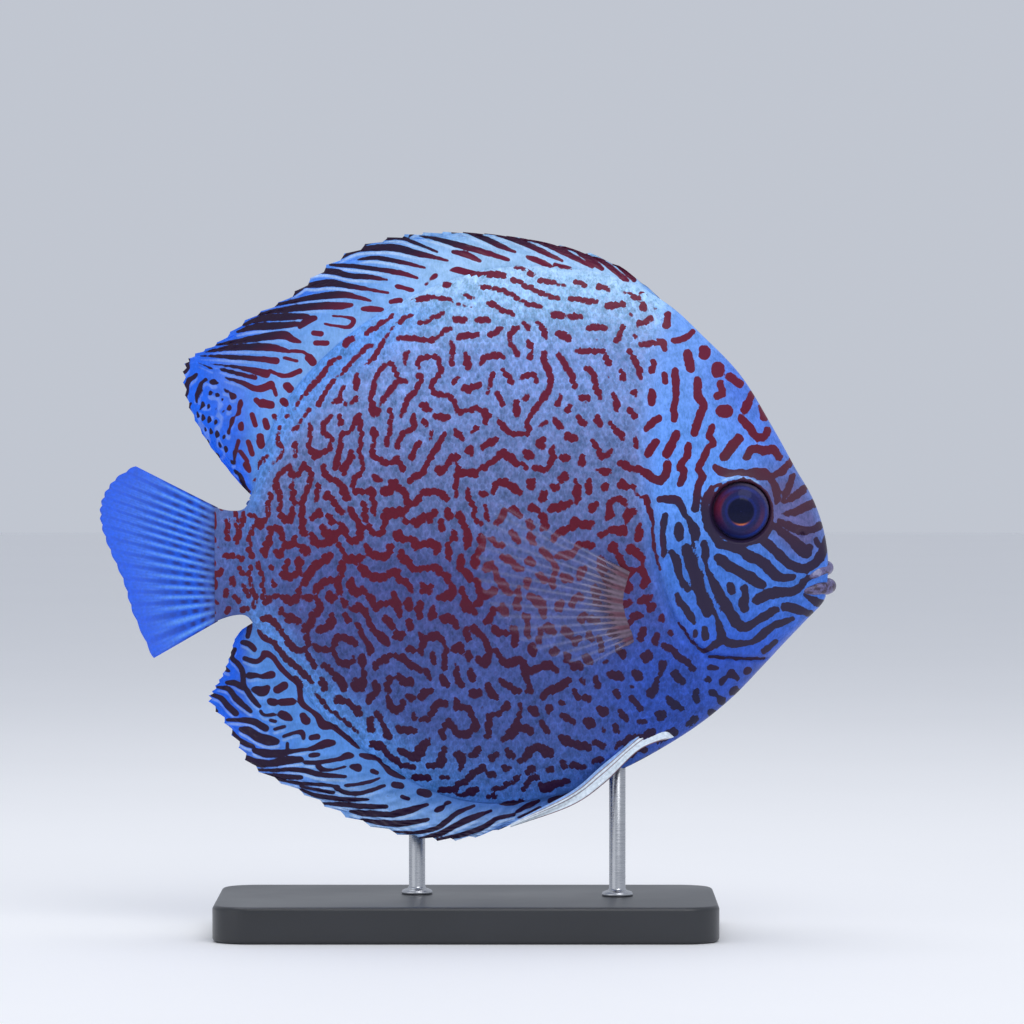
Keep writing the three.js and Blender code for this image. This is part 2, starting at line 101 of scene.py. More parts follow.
# Edges of the back and belly fins: station of the body, x, height
DORSAL_EDGE = (
    (8.0, 41.5, 120.8), (8.5, 30.2, 128.5), (9.2, 12.9, 132.7), (10.1, -3.6, 134.2),
    (11.0, -17.9, 132.9), (11.6, -28.9, 128.3), (12.4, -39.5, 119.9), (13.0, -48.3, 115.1),
    (13.6, -55.5, 109.6), (14.2, -60.8, 106.9), (14.8, -62.6, 103.8), (15.5, -61.7, 96.8),
    (16.2, -58.0, 89.1), (16.8, -52.9, 82.2), (17.3, -49.4, 78.2),
)
ANAL_EDGE = (
    (8.8, 23.9, 9.9), (9.4, 12.9, 4.8), (10.1, -0.3, 0.4), (10.9, -12.4, 0.9),
    (11.5, -25.6, 4.8), (12.1, -36.2, 10.3), (12.7, -47.2, 16.1), (13.2, -50.7, 21.3),
    (13.7, -53.8, 26.4), (14.2, -57.1, 30.8), (14.8, -56.0, 33.4), (15.5, -53.8, 37.0),
    (16.2, -52.2, 41.1), (16.8, -51.2, 44.4), (17.2, -49.6, 46.6),
)
# Edges of the tail fin and of a breast fin: share of the fan, x, height
CAUDAL_EDGE = (
    (0.0, -73.4, 82.7), (0.12, -78.0, 79.6), (0.27, -80.8, 75.2), (0.42, -81.1, 70.4),
    (0.55, -79.3, 64.7), (0.7, -76.0, 57.2), (0.85, -73.8, 49.9), (1.0, -69.4, 40.0),
)
PECTORAL_EDGE = (
    (0.0, 7.5, 75.5), (0.25, 2.6, 66.5), (0.5, 3.6, 56.0), (0.75, 12.5, 45.0), (1.0, 26.5, 39.4),
)
PECTORAL_ROOT = ((38.6, 58.2), (37.0, 44.6))
# How far out from the middle plane a breast fin and a belly streamer stand: at the root, at the tip
PECTORAL_Y = (8.2, 23.0)
PELVIC_LEADING = ((45.6, 23.2), (38.2, 20.6), (30.5, 13.4), (22.8, 8.2), (9.6, 3.6))
PELVIC_TRAILING = ((41.0, 27.5), (35.4, 21.8), (29.2, 16.6), (22.6, 11.2), (9.9, 4.6))
PELVIC_Y = (2.0, 6.4)

# The photo's pixels on the fish's middle plane
MM_PER_PIXEL = 0.22
PHOTO_ORIGIN = (466.5, 842.0)
PHOTO_CENTRE = (10.0, 92.6)
PHOTO_SIDE = 1024
CAMERA_RISE = 1.5

# Rays of each fin, cells of the grid over one ray, and cells from root to tip
DORSAL_RAYS, ANAL_RAYS, TAIL_RAYS, PECTORAL_RAYS, PELVIC_RAYS = 36, 32, 16, 17, 4
RAY_CELLS, PECTORAL_RAY_CELLS = 18, 12
MEDIAN_ROWS, TAIL_ROWS, PECTORAL_ROWS, PELVIC_ROWS = 74, 56, 48, 90
# How deep the edge is cut between rays: share of the fin's length, depth
DORSAL_NOTCHES = ((0.0, 0.22), (0.1, 0.13), (0.2, 0.08), (0.4, 0.05), (0.6, 0.03), (1.0, 0.03))
ANAL_NOTCHES = ((0.0, 0.2), (0.08, 0.12), (0.2, 0.07), (0.5, 0.04), (1.0, 0.03))

# Lie of the markings: x and y in the photo, direction in degrees, hold, width, sparseness
MARK_LIE = (
    (620, 278, 143, 1.0, 0.85, 0.1), (575, 258, 150, 1.0, 0.8, 0.1), (520, 250, 160, 1.0, 0.8, 0.1),
    (460, 243, 166, 1.0, 0.8, 0.1), (400, 250, 172, 1.0, 0.8, 0.1), (345, 262, 2, 1.0, 0.8, 0.1),
    (305, 285, 18, 1.0, 0.8, 0.1), (262, 320, 14, 1.0, 0.75, 0.0), (215, 350, 6, 1.0, 0.7, 0.0),
    (250, 350, 2, 1.0, 0.75, 0.0), (320, 310, 172, 0.8, 0.8, 0.15), (250, 378, 160, 0.9, 0.8, 0.1),
    (290, 340, 0, 0.7, 0.8, 0.3), (200, 385, 80, 0.3, 0.6, 0.1), (205, 420, 110, 0.3, 0.6, 0.1),
    (232, 455, 115, 0.3, 0.65, 0.1), (225, 410, 100, 0.1, 0.6, 0.2), (300, 385, 52, 0.95, 0.85, 0.15),
    (335, 350, 45, 0.95, 0.9, 0.15), (375, 325, 45, 0.8, 0.9, 0.15), (278, 440, 75, 0.8, 0.85, 0.1),
    (258, 485, 80, 0.8, 0.8, 0.1), (420, 300, 172, 0.85, 0.95, 0.2), (470, 285, 160, 0.9, 0.95, 0.25),
    (530, 285, 155, 0.9, 0.95, 0.3), (590, 295, 165, 0.6, 1.0, 0.4), (340, 420, 75, 0.5, 1.0, 0.1),
    (380, 360, 70, 0.3, 1.0, 0.1), (300, 520, 88, 0.45, 0.9, 0.05), (340, 520, 80, 0.3, 1.0, 0.05),
    (240, 560, 85, 0.5, 0.7, 0.1), (420, 450, 60, 0.1, 1.05, 0.12), (480, 380, 120, 0.1, 1.05, 0.2),
    (560, 360, 115, 0.35, 1.05, 0.3), (610, 400, 112, 0.35, 1.0, 0.35), (660, 400, 95, 0.4, 1.0, 0.3),
    (520, 480, 30, 0.1, 1.0, 0.2), (600, 470, 0, 0.15, 1.0, 0.3), (450, 560, 0, 0.1, 1.05, 0.1),
    (380, 600, 10, 0.1, 1.05, 0.05), (560, 560, 90, 0.1, 1.0, 0.25), (620, 540, 90, 0.2, 1.0, 0.25),
    (500, 640, 120, 0.1, 1.0, 0.15), (430, 680, 60, 0.1, 1.0, 0.12), (560, 700, 120, 0.1, 1.0, 0.22),
    (620, 680, 60, 0.15, 1.0, 0.25), (690, 690, 45, 0.2, 0.95, 0.3), (640, 720, 40, 0.2, 0.95, 0.25),
    (250, 600, 85, 0.4, 0.7, 0.1), (275, 650, 130, 0.9, 0.85, 0.1), (305, 690, 133, 0.95, 0.85, 0.1),
    (345, 725, 140, 0.95, 0.85, 0.1), (395, 760, 155, 0.9, 0.9, 0.1), (460, 785, 10, 0.8, 0.9, 0.15),
    (520, 780, 20, 0.8, 0.9, 0.15), (580, 770, 25, 0.7, 0.9, 0.2), (240, 650, 150, 0.8, 0.7, 0.1),
    (225, 690, 160, 0.9, 0.7, 0.1), (250, 720, 172, 1.0, 0.75, 0.0), (290, 760, 2, 1.0, 0.75, 0.0),
    (340, 795, 165, 1.0, 0.75, 0.0), (400, 815, 168, 1.0, 0.75, 0.0), (460, 825, 12, 1.0, 0.75, 0.0),
    (530, 805, 20, 1.0, 0.8, 0.0), (600, 775, 25, 0.9, 0.85, 0.1),
)

# Marks given one by one: width, then the points that the stroke runs through, in the photo's pixels.
# A third number gives a point its own width.
FACE_STROKES = (
    (66, (739.5, 510.5), (739.6, 510.6)),
    (7, (714, 466), (719, 470, 9), (730, 473, 9), (742, 473, 10), (752, 474, 12), (762, 474, 13), (771, 475),
     (779, 472, 8), (787, 465, 8), (791, 461)), (6, (768, 477), (774, 486, 9), (776, 496, 8), (775, 503, 4)),
    (6, (792, 476, 7), (788, 486, 8), (784, 495), (781, 501, 3)),
    (9, (803, 489), (794, 496, 8), (786, 500, 5), (781, 503, 2)),
    (10, (812, 504), (800, 509, 9), (790, 512, 7), (781, 513, 3)),
    (9, (778, 520, 5), (785, 524), (794, 528), (802, 530), (812, 529, 8), (820, 525, 8)),
    (11, (770, 523, 6), (777, 528, 9), (784, 534, 10), (791, 540), (799, 547, 13), (806, 552), (809, 546, 8)),
    (7, (815, 539), (817, 543)),
    (10, (763, 541, 9), (770, 546), (778, 554), (786, 561), (794, 566), (803, 568), (811, 564), (818, 558, 11),
     (823, 549, 9), (825, 538, 6)),
    (12, (712, 533, 10), (720, 543, 10), (730, 546, 9), (740, 550, 10), (750, 556), (758, 559), (765, 565),
     (770, 570), (776, 575, 11), (784, 577, 9), (791, 576, 8)),
    (11, (716, 556, 8), (722, 561, 12), (730, 566), (740, 571), (750, 577, 12), (757, 582), (761, 584, 9)),
    (9, (729, 585), (731, 590)), (9, (743, 587), (744, 595, 8), (742, 602, 11), (743, 607, 10)),
    (9, (755, 599), (762, 595, 12), (770, 592, 12), (783, 591, 11), (793, 590, 10), (799, 586), (803, 580, 8),
     (808, 577, 6)), (9, (803, 594, 3), (810, 598, 6), (817, 602), (823, 604)),
    (8, (784, 606, 9), (792, 607, 11), (800, 610), (808, 613), (812, 613, 5)),
    (9, (703, 542, 8), (704, 551), (703, 560, 6), (706, 570, 7), (711, 580, 10), (717, 591, 11), (723, 601, 12),
     (729, 611, 12), (736, 621, 12), (743, 626, 10), (750, 623), (760, 617), (770, 611), (775, 608, 8)),
    (13, (685, 547, 11), (689, 558), (694, 574, 14), (699, 590), (703, 602), (706, 611, 10)),
    (7, (700, 568, 3), (706, 584, 5), (711, 598), (716, 613, 8), (719, 627, 9), (720, 636, 10)),
    (8, (678, 621, 3), (690, 638, 4), (702, 649, 5), (712, 644), (722, 639, 9), (730, 642, 10), (740, 642),
     (750, 641, 7), (758, 636, 9), (766, 629, 9), (774, 624), (783, 622), (791, 618, 6)),
    (7, (763, 650, 8), (770, 645), (776, 640, 5)), (3.6, (708, 655), (736, 657), (764, 658)),
    (9, (719, 482, 4), (711, 487, 7), (706, 495, 8), (704, 504), (704, 513), (706, 522), (710, 531), (717, 539, 8),
     (726, 543, 6), (737, 544, 5), (748, 543, 4), (758, 539, 5), (766, 532, 6), (771, 524, 5)),
)
GILL_STROKES = (
    (6, (659, 498, 8), (668, 498, 9), (676, 500, 10), (681, 507, 8), (684, 514), (688, 519), (692, 527, 11),
     (694, 533, 10), (694, 544), (697, 556, 3)),
    (4, (645, 497, 8), (646, 505, 8), (650, 513, 6), (652, 525), (652, 540), (655, 555), (659, 568, 3)),
    (6, (664, 514), (663, 522, 8), (661, 531), (662, 541, 7), (663, 549), (662, 555, 5)),
    (10, (677, 525), (678, 536, 9)),
    (9, (671, 551, 7), (675, 558), (677, 567), (679, 576, 6), (683, 583, 8), (687, 588, 6)),
    (8, (676, 593, 6), (679, 600), (684, 607), (689, 614), (693, 620, 5)), (7, (694, 630, 6), (694, 633)),
    (8, (704, 627, 7), (704, 635)),
)
# Thin pale lines that part the marks: over the eye, where a highlight is painted, and down the cheek
PALE_STROKES = (
    (2.4, (711, 483, 2.8), (720, 479.5), (730, 477, 2.2), (740, 476), (750, 477.5, 1.8), (759, 481, 1)),
    (2.8, (694, 540, 2.2), (700, 560, 2.6), (706, 582), (713, 601), (720, 616, 3), (728, 628, 4)),
)
NAPE_STROKES = (
    (8, (667, 315), (666, 326)), (7, (637, 325), (650, 319)), (7, (640, 345), (650, 343), (662, 342), (664, 349)),
    (7, (674, 341), (683, 339), (692, 332)), (10, (687, 354), (690, 368)), (12, (704, 351), (704, 354)),
    (14, (717, 368), (717, 371)), (9, (729, 377), (739, 384)),
    (8, (674, 371), (675, 384), (675, 396), (673, 407), (673, 419)),
    (9, (697, 380), (697, 395), (702, 405), (697, 420), (693, 432)), (8, (719, 383), (722, 393), (716, 396)),
    (9, (751, 395), (744, 410)), (8, (761, 408), (764, 418)), (14, (721, 411), (726, 411)),
    (9, (740, 418), (749, 428), (755, 436), (763, 437), (767, 430)), (8, (646, 427), (657, 418)),
    (8, (711, 427), (708, 435), (712, 442), (706, 448), (703, 457), (697, 468), (701, 475), (697, 485), (695, 500),
     (694, 508)), (11, (737, 438), (723, 456)), (9, (745, 456), (752, 449), (762, 451), (772, 449), (778, 457)),
    (10, (675, 434), (666, 453)), (8, (655, 441), (646, 454)),
    (8, (688, 445), (685, 456), (678, 466), (683, 470), (679, 482)),
    (9, (620, 462), (632, 468), (645, 472), (657, 480), (665, 473), (666, 464)), (8, (652, 362), (651, 370)),
    (7, (664, 375), (664, 381)), (9, (651, 391, 7), (651, 397), (651, 403, 6)),
)
EDGE_STROKES = (
    (6, (341, 357, 5), (332, 362), (326, 370), (319, 378, 7), (308, 391), (300, 397), (295, 407), (288, 415),
     (281, 424), (278, 433, 7), (277, 441), (283, 449, 7), (281, 456), (274, 465), (265, 483, 5)),
    (6, (372, 345, 5), (363, 350), (356, 358), (350, 366), (343, 373), (334, 382), (326, 392), (322, 401, 8),
     (320, 406, 7)),
    (6, (418, 314, 5), (402, 320), (394, 328), (387, 338), (381, 348), (376, 356), (370, 361), (362, 369, 5)),
    (6, (393, 315), (382, 323), (372, 330), (365, 333)), (6, (310, 410), (303, 420), (292, 433)),
    (6, (269, 452), (263, 459, 8), (258, 466), (256, 474), (252, 483), (251, 497)),
    (6, (405, 303, 4), (418, 300), (432, 297), (445, 299), (460, 304), (473, 307)),
    (6, (478, 286, 5), (490, 289), (505, 291), (514, 297), (521, 302), (532, 305), (543, 309)),
    (6, (513, 280), (526, 286), (545, 295), (559, 299, 4)), (6, (540, 281), (552, 283), (566, 286, 3)),
    (5, (570, 299), (583, 301, 7), (596, 302)), (6, (576, 282), (584, 285)), (6, (598, 287), (609, 290)),
    (8, (607, 307), (622, 305)), (6, (622, 291, 3), (630, 295), (637, 298, 7)),
    (5, (640, 293), (650, 296), (662, 301, 3)), (8, (641, 305), (643, 309)), (9, (587, 327), (604, 328)),
    (7, (577, 350), (590, 351), (602, 352, 8), (606, 358), (608, 364, 8)),
    (6, (315, 691), (322, 700), (332, 711), (345, 722), (354, 729), (360, 738)),
)
FLANK_STROKES = (
    (5, (391, 302), (401, 300)), (5, (462, 295), (473, 298)), (6, (489, 303), (497, 307), (503, 311), (513, 314)),
    (6, (419, 324), (430, 320), (437, 316), (444, 313)), (7, (455, 319), (465, 320)), (7, (477, 320), (488, 320)),
    (6, (399, 338), (415, 338), (430, 341), (436, 338), (443, 332), (450, 329)),
    (7, (459, 337), (468, 336), (478, 335)), (7, (490, 336), (497, 331), (503, 329, 5)),
    (6, (516, 328, 8), (511, 334), (510, 342), (514, 348), (517, 354, 7)), (7, (524, 323, 5), (529, 328)),
    (7, (537, 324), (543, 328), (545, 337)), (8, (553, 315), (562, 315)), (8, (557, 334), (568, 338)),
    (7, (529, 342), (531, 350, 5), (529, 358)), (6, (451, 343), (453, 350), (452, 358), (453, 364)),
    (6, (408, 352), (405, 358), (407, 365, 4)), (7, (485, 411), (486, 421)), (8, (466, 355), (468, 366, 9)),
    (6, (419, 367), (420, 360), (428, 357), (438, 358), (441, 366), (442, 372), (436, 378), (433, 384),
     (434, 391, 8), (442, 395), (450, 396), (456, 403), (458, 411, 8), (467, 411), (478, 407), (483, 412),
     (490, 414)), (7, (481, 364, 5), (486, 357), (495, 355), (502, 357)),
    (7, (504, 371), (508, 376, 8), (512, 382)),
    (7, (544, 353), (544, 361), (548, 370), (551, 380), (549, 388), (545, 395, 8), (541, 401, 5), (537, 406),
     (533, 412), (530, 418, 5), (527, 425), (528, 432), (514, 434), (507, 430), (502, 423), (498, 418, 5)),
    (7, (558, 354), (563, 361), (567, 369), (572, 376), (574, 385)),
    (7, (520, 379, 5), (527, 375), (534, 376), (536, 381, 5)), (6, (492, 374, 7), (491, 382), (487, 393, 4)),
    (6, (454, 383), (458, 378)), (7, (463, 388), (470, 389, 9), (479, 384)),
    (6, (498, 393), (502, 400), (504, 406, 5)), (8, (523, 400, 5), (527, 396)), (8, (516, 402), (517, 413)),
    (7, (560, 394, 5), (557, 403)), (9, (424, 405), (428, 408)), (9, (438, 416), (446, 417)),
    (8, (425, 421), (426, 424)),
    (6, (405, 381, 7), (400, 379), (397, 374), (393, 364), (385, 366), (378, 376), (374, 388), (372, 400),
     (375, 412, 10), (380, 410)), (6, (398, 381), (390, 392, 7), (384, 400), (381, 406, 4)),
    (6, (420, 376, 8), (420, 383), (416, 391), (408, 398, 7), (405, 406), (402, 416, 5)),
    (6, (391, 410), (391, 425), (389, 435), (387, 444, 7)),
    (7, (413, 414, 5), (414, 422), (415, 428), (407, 431), (401, 437), (399, 446, 5)), (5, (433, 431), (431, 439)),
    (7, (445, 434, 5), (440, 443), (436, 450), (430, 457), (427, 465), (424, 472), (417, 475, 8), (411, 480)),
    (8, (456, 431), (459, 433), (464, 439, 5)), (7, (471, 431, 5), (477, 428)), (6, (540, 426, 5), (545, 422)),
    (8, (554, 418, 6), (560, 426)), (8, (567, 410), (570, 406, 6)), (9, (538, 443), (545, 437, 3)),
    (7, (483, 447), (492, 441), (498, 438, 3)), (7, (467, 451, 5), (471, 448)),
    (7, (420, 443), (414, 450, 8), (412, 458)),
    (6, (374, 431, 9), (376, 438), (373, 447), (374, 456, 7), (382, 459)), (7, (384, 463), (392, 461), (399, 458)),
    (6, (552, 446, 5), (552, 457, 8), (550, 465)), (8, (571, 317), (579, 317)),
    (7, (622, 326), (620, 334), (616, 342)), (7, (587, 368), (592, 374), (595, 382), (597, 391, 8), (599, 398, 5)),
    (7, (629, 351, 5), (632, 357), (636, 366), (640, 376, 8)), (8, (621, 371, 6), (622, 379)),
    (8, (634, 391), (633, 394)), (7, (580, 397), (586, 397), (586, 402, 4)), (7, (613, 395), (613, 398)),
    (8, (615, 403), (616, 407)), (7, (628, 409, 5), (633, 413), (634, 417)), (6, (578, 417), (584, 423, 8)),
    (8, (596, 418), (599, 424, 7)), (7, (610, 423), (615, 429), (620, 435), (622, 440, 5)),
    (9, (567, 436), (574, 438)), (6, (635, 438), (635, 446)),
    (6, (592, 441), (596, 448), (601, 455, 8), (607, 454), (610, 448, 5)), (10, (564, 457), (567, 457)),
    (5, (582, 455), (581, 463, 8)), (7, (399, 440), (399, 446)), (8, (401, 464), (403, 469)),
    (7, (438, 466), (441, 470, 9), (448, 465), (451, 458), (457, 456, 9)), (8, (470, 448), (471, 453)),
    (7, (458, 463, 5), (459, 471), (464, 472, 8), (475, 472, 10)), (6, (457, 474), (456, 484), (456, 495, 5)),
    (7, (482, 467), (490, 463), (497, 457), (502, 453, 10), (510, 457, 9), (516, 463, 5)),
    (5, (521, 462), (525, 467)), (8, (482, 446, 6), (489, 443), (494, 439)), (10, (527, 453), (530, 455)),
    (8, (540, 443), (542, 446)), (9, (535, 466, 7), (541, 469), (546, 468, 6)), (9, (560, 478), (565, 475)),
    (10, (531, 481), (531, 486)), (8, (553, 485), (555, 487)), (5, (576, 480), (576, 490, 9), (577, 502)),
    (7, (587, 480), (588, 490)), (6, (494, 493, 4), (495, 484), (503, 481, 8), (512, 486, 9), (521, 493)),
    (7, (482, 493), (486, 494)), (7, (544, 491), (542, 498, 9)),
    (6, (468, 489), (470, 498), (474, 506), (475, 516, 5), (481, 523, 5)),
    (7, (391, 481, 5), (396, 486), (403, 489, 8), (407, 496), (407, 503, 5), (416, 501), (419, 497)),
    (9, (423, 491, 8), (430, 491), (438, 491, 7), (446, 496)), (6, (505, 508, 5), (502, 515, 7), (497, 522)),
    (9, (514, 508), (518, 512)), (8, (531, 506), (535, 509)), (8, (528, 521), (531, 524)),
    (8, (542, 514), (545, 522), (543, 528, 5)), (4, (485, 505), (488, 518, 5)),
    (9, (551, 507, 8), (560, 505), (567, 503), (570, 500, 4)), (8, (574, 520, 9), (582, 523), (590, 523)),
    (7, (574, 525, 5), (565, 528), (557, 533), (553, 537)), (9, (391, 514), (401, 511), (407, 508, 5)),
    (6, (405, 520), (407, 521)), (8, (412, 521, 5), (419, 521, 10), (423, 516)),
    (5, (426, 515), (431, 514, 8), (437, 510)), (5, (431, 517), (431, 523, 4)), (5, (448, 508), (449, 516, 8)),
    (8, (459, 513), (462, 519), (466, 527, 7), (468, 536), (467, 546, 6)), (6, (441, 520, 5), (442, 528)),
    (8, (453, 530, 5), (454, 537)), (7, (399, 530, 5), (397, 535, 8), (408, 538), (415, 538, 4)),
    (7, (415, 546), (424, 543), (434, 542, 8), (439, 546, 5), (437, 552, 5)),
    (7, (481, 536), (482, 544, 8), (477, 552), (475, 560, 8), (476, 565, 5)),
    (5, (491, 538), (497, 542, 6), (503, 545, 4)), (6, (510, 529, 4), (515, 535), (518, 541, 5)),
    (7, (530, 535), (533, 541)), (6, (542, 548), (549, 556)),
    (7, (402, 551, 5), (401, 556, 8), (408, 560), (415, 567), (425, 567), (437, 566), (440, 572, 5)),
    (5, (449, 543), (449, 550, 6), (450, 558)),
    (7, (461, 555, 8), (461, 563), (459, 568, 5), (466, 570), (470, 577, 8)), (7, (447, 573), (449, 578)),
    (8, (503, 556), (510, 558, 6)), (7, (528, 558), (531, 562)),
    (7, (486, 568), (490, 563, 8), (495, 569, 5), (497, 577, 5), (502, 582), (508, 590, 9)),
    (7, (514, 563), (520, 567)), (8, (577, 545, 6), (586, 543), (590, 545)),
    (7, (559, 554), (566, 554, 8), (574, 551, 5)), (8, (582, 568), (580, 575)), (8, (563, 576), (568, 577)),
    (5, (552, 561), (555, 567), (553, 575, 4), (552, 583, 7)), (5, (537, 573), (544, 577, 8)),
    (7, (527, 578), (526, 583)), (9, (391, 572), (399, 571, 6)),
    (7, (400, 578), (405, 580), (410, 585), (412, 591, 3)), (8, (423, 584), (424, 590, 5)),
    (5, (432, 584), (430, 592, 4)), (6, (478, 578, 5), (479, 586), (482, 592, 9), (490, 592, 8), (494, 588)),
    (7, (453, 583, 5), (453, 591), (447, 595, 9), (441, 596)),
    (6, (462, 587), (465, 597), (467, 605, 11), (475, 610)), (6, (478, 602, 7), (480, 598)),
    (6, (518, 585, 4), (518, 595), (517, 605, 8)), (7, (530, 595), (535, 598, 9), (542, 604, 8), (543, 614, 5)),
    (8, (561, 600, 5), (558, 606)), (6, (580, 594, 7), (574, 598), (572, 604)),
    (6, (395, 592, 4), (394, 602), (400, 609), (400, 616, 4)), (8, (409, 600), (409, 605)),
    (7, (421, 603), (419, 610, 8), (420, 617, 5)), (8, (434, 606, 4), (432, 615)),
    (8, (444, 617), (451, 617), (458, 626, 4)), (6, (494, 608), (491, 615), (487, 620)),
    (9, (503, 606), (505, 610)), (7, (410, 621), (411, 627, 5)), (8, (474, 627), (480, 632)),
    (6, (466, 628), (468, 638)), (8, (493, 627, 6), (498, 630), (506, 632, 5)),
    (6, (526, 614, 7), (527, 625, 5), (528, 634)), (6, (513, 626), (515, 634, 8), (515, 643)),
    (10, (548, 626), (551, 628)), (10, (565, 629), (568, 632)), (7, (580, 618, 8), (584, 613)),
    (5, (540, 628), (539, 640, 6)), (8, (397, 634), (403, 634)),
    (6, (420, 632, 4), (424, 637, 7), (422, 646), (422, 652, 5)), (8, (432, 635), (436, 634), (443, 640, 6)),
    (7, (296, 443), (296, 455, 6)), (7, (260, 441, 9), (261, 446)), (6, (248, 442), (252, 454)),
    (5, (238, 441), (235, 452), (233, 464)), (8, (246, 465), (249, 471, 5)),
    (5, (234, 470, 4), (240, 477), (244, 486), (249, 492, 4)),
    (6, (311, 424, 4), (311, 433), (310, 445), (316, 455, 9), (322, 452), (330, 449), (332, 439), (327, 435),
     (323, 430), (325, 423), (331, 416, 5)), (6, (341, 417), (341, 424, 7)),
    (6, (344, 433), (351, 430), (355, 421), (360, 415, 7), (361, 425), (362, 440), (360, 452, 5), (363, 462),
     (362, 471), (355, 477), (354, 484)), (6, (343, 434), (341, 445), (339, 455), (336, 466, 8)),
    (7, (351, 452), (352, 457), (346, 466), (344, 472)), (6, (358, 375), (357, 382, 7), (357, 390, 5)),
    (6, (345, 387), (341, 394, 5), (339, 400), (334, 402)), (5, (341, 400), (346, 404)),
    (7, (358, 397), (351, 403, 4)),
    (6, (290, 466, 8), (283, 471), (278, 478), (276, 486, 7), (281, 495), (280, 505), (282, 515), (290, 520, 7),
     (294, 507, 5)),
    (6, (290, 467), (294, 475, 8), (300, 472), (304, 465, 8), (310, 471), (312, 478, 7), (309, 486), (305, 495),
     (303, 505), (303, 515), (304, 533, 8)), (7, (293, 483, 5), (293, 493, 8), (294, 501)),
    (6, (271, 494), (268, 505), (268, 513), (264, 520), (260, 526), (256, 519), (251, 515)),
    (5, (235, 512), (236, 522), (239, 531, 6), (236, 541, 7)), (5, (243, 513), (243, 525)),
    (5, (227, 520), (227, 540)), (6, (252, 527, 5), (249, 546), (252, 556)),
    (7, (324, 466), (326, 472), (331, 478), (338, 481), (343, 486), (346, 494, 9), (349, 498, 6)),
    (6, (319, 484), (318, 492), (316, 501, 4)), (7, (328, 495, 9), (334, 500), (338, 505), (342, 511)),
    (8, (376, 476), (381, 480, 6)), (7, (383, 487, 5), (387, 492, 9), (392, 487), (396, 481)),
    (7, (357, 490), (365, 491), (372, 489), (374, 497), (375, 514, 4)), (6, (365, 502), (365, 512), (367, 518, 5)),
    (7, (350, 507, 5), (353, 514), (358, 520, 5), (361, 527), (361, 535), (355, 540, 8), (349, 537), (346, 530),
     (342, 524)), (8, (313, 517, 6), (318, 514), (322, 508, 4)), (7, (330, 515), (333, 520, 8)),
    (6, (398, 509), (392, 511, 8), (385, 512), (385, 524), (381, 533, 7), (374, 531), (370, 526)),
    (6, (270, 541), (270, 530), (275, 527), (281, 530), (283, 538, 5)),
    (7, (270, 541), (265, 548, 8), (264, 556, 5)), (8, (284, 546), (293, 543), (295, 537, 5)),
    (8, (301, 546, 6), (306, 549), (308, 553, 5)), (9, (278, 553), (280, 554)),
    (8, (324, 526, 5), (326, 533), (337, 533), (330, 540), (322, 543), (315, 540), (313, 534, 5)),
    (5, (340, 544), (345, 550, 4)), (7, (368, 546), (371, 552), (379, 555, 9), (388, 555), (391, 546)),
    (8, (348, 558), (358, 558), (363, 556, 5)), (8, (331, 553, 6), (325, 559), (317, 564), (311, 571), (305, 581)),
    (6, (342, 562), (342, 570, 7), (339, 580), (341, 591)),
    (8, (362, 566, 6), (367, 572), (376, 576), (385, 576, 6)),
    (7, (300, 560, 9), (300, 567), (297, 573), (291, 576), (284, 574), (286, 566), (288, 560, 4)),
    (7, (335, 578, 5), (325, 581), (318, 587), (316, 593, 4)),
    (7, (351, 578, 5), (352, 586, 8), (358, 592), (364, 588)),
    (5, (300, 588), (297, 597, 7), (290, 600, 8), (283, 595), (276, 595), (266, 601, 7)),
    (9, (308, 596), (310, 597)), (8, (330, 594), (333, 598)), (7, (371, 595), (373, 599)),
    (7, (382, 603), (390, 601), (396, 599), (399, 606, 5)), (6, (376, 606), (379, 605)),
    (7, (318, 598, 5), (321, 605), (317, 612, 6)), (7, (344, 600), (346, 604)),
    (7, (354, 608), (360, 606, 9), (363, 609)), (6, (312, 610, 4), (312, 620), (306, 628, 9)),
    (9, (289, 617), (297, 620)), (5, (280, 607), (282, 614)),
    (7, (333, 614), (332, 621), (325, 627, 9), (320, 630)), (7, (346, 614), (350, 620, 4)),
    (5, (357, 623), (361, 627)),
    (6, (366, 608, 5), (368, 617), (371, 625, 5), (376, 631), (383, 636, 8), (387, 642)),
    (6, (386, 617), (393, 624, 8)), (5, (248, 575, 4), (252, 587), (256, 598), (253, 606)),
    (5, (258, 563), (262, 575), (263, 590, 4), (264, 600)), (6, (243, 585, 4), (247, 595)),
    (6, (233, 578), (232, 584)), (5, (227, 590), (225, 596)), (6, (234, 598), (238, 600)),
    (5, (230, 608), (226, 613)), (6, (242, 611), (246, 609)), (5, (250, 567), (250, 572)),
    (6, (239, 558), (242, 559)), (7, (226, 557), (231, 556)), (5, (240, 568), (242, 574)),
    (7, (308, 655, 5), (312, 661), (314, 666, 4)),
    (7, (323, 663, 5), (330, 669), (337, 676), (342, 681), (344, 687)), (7, (322, 680), (325, 687)),
    (7, (316, 646), (325, 649), (333, 648), (336, 640), (343, 636, 8), (351, 639), (356, 642)),
    (6, (335, 652, 3), (340, 660), (346, 663, 7), (353, 661), (353, 656, 4)), (7, (362, 656), (363, 662)),
    (6, (354, 679), (357, 686, 8), (362, 685, 8), (364, 676), (364, 671, 5)),
    (7, (336, 699), (343, 699), (350, 704, 5), (356, 708, 8), (360, 713)),
    (7, (376, 682), (377, 689, 8), (372, 694), (368, 700, 5)), (6, (370, 718), (371, 728, 8)),
    (5, (378, 713, 7), (382, 720), (385, 729), (388, 735, 7)),
    (7, (375, 668, 4), (376, 664), (382, 660), (388, 656), (391, 655, 4)),
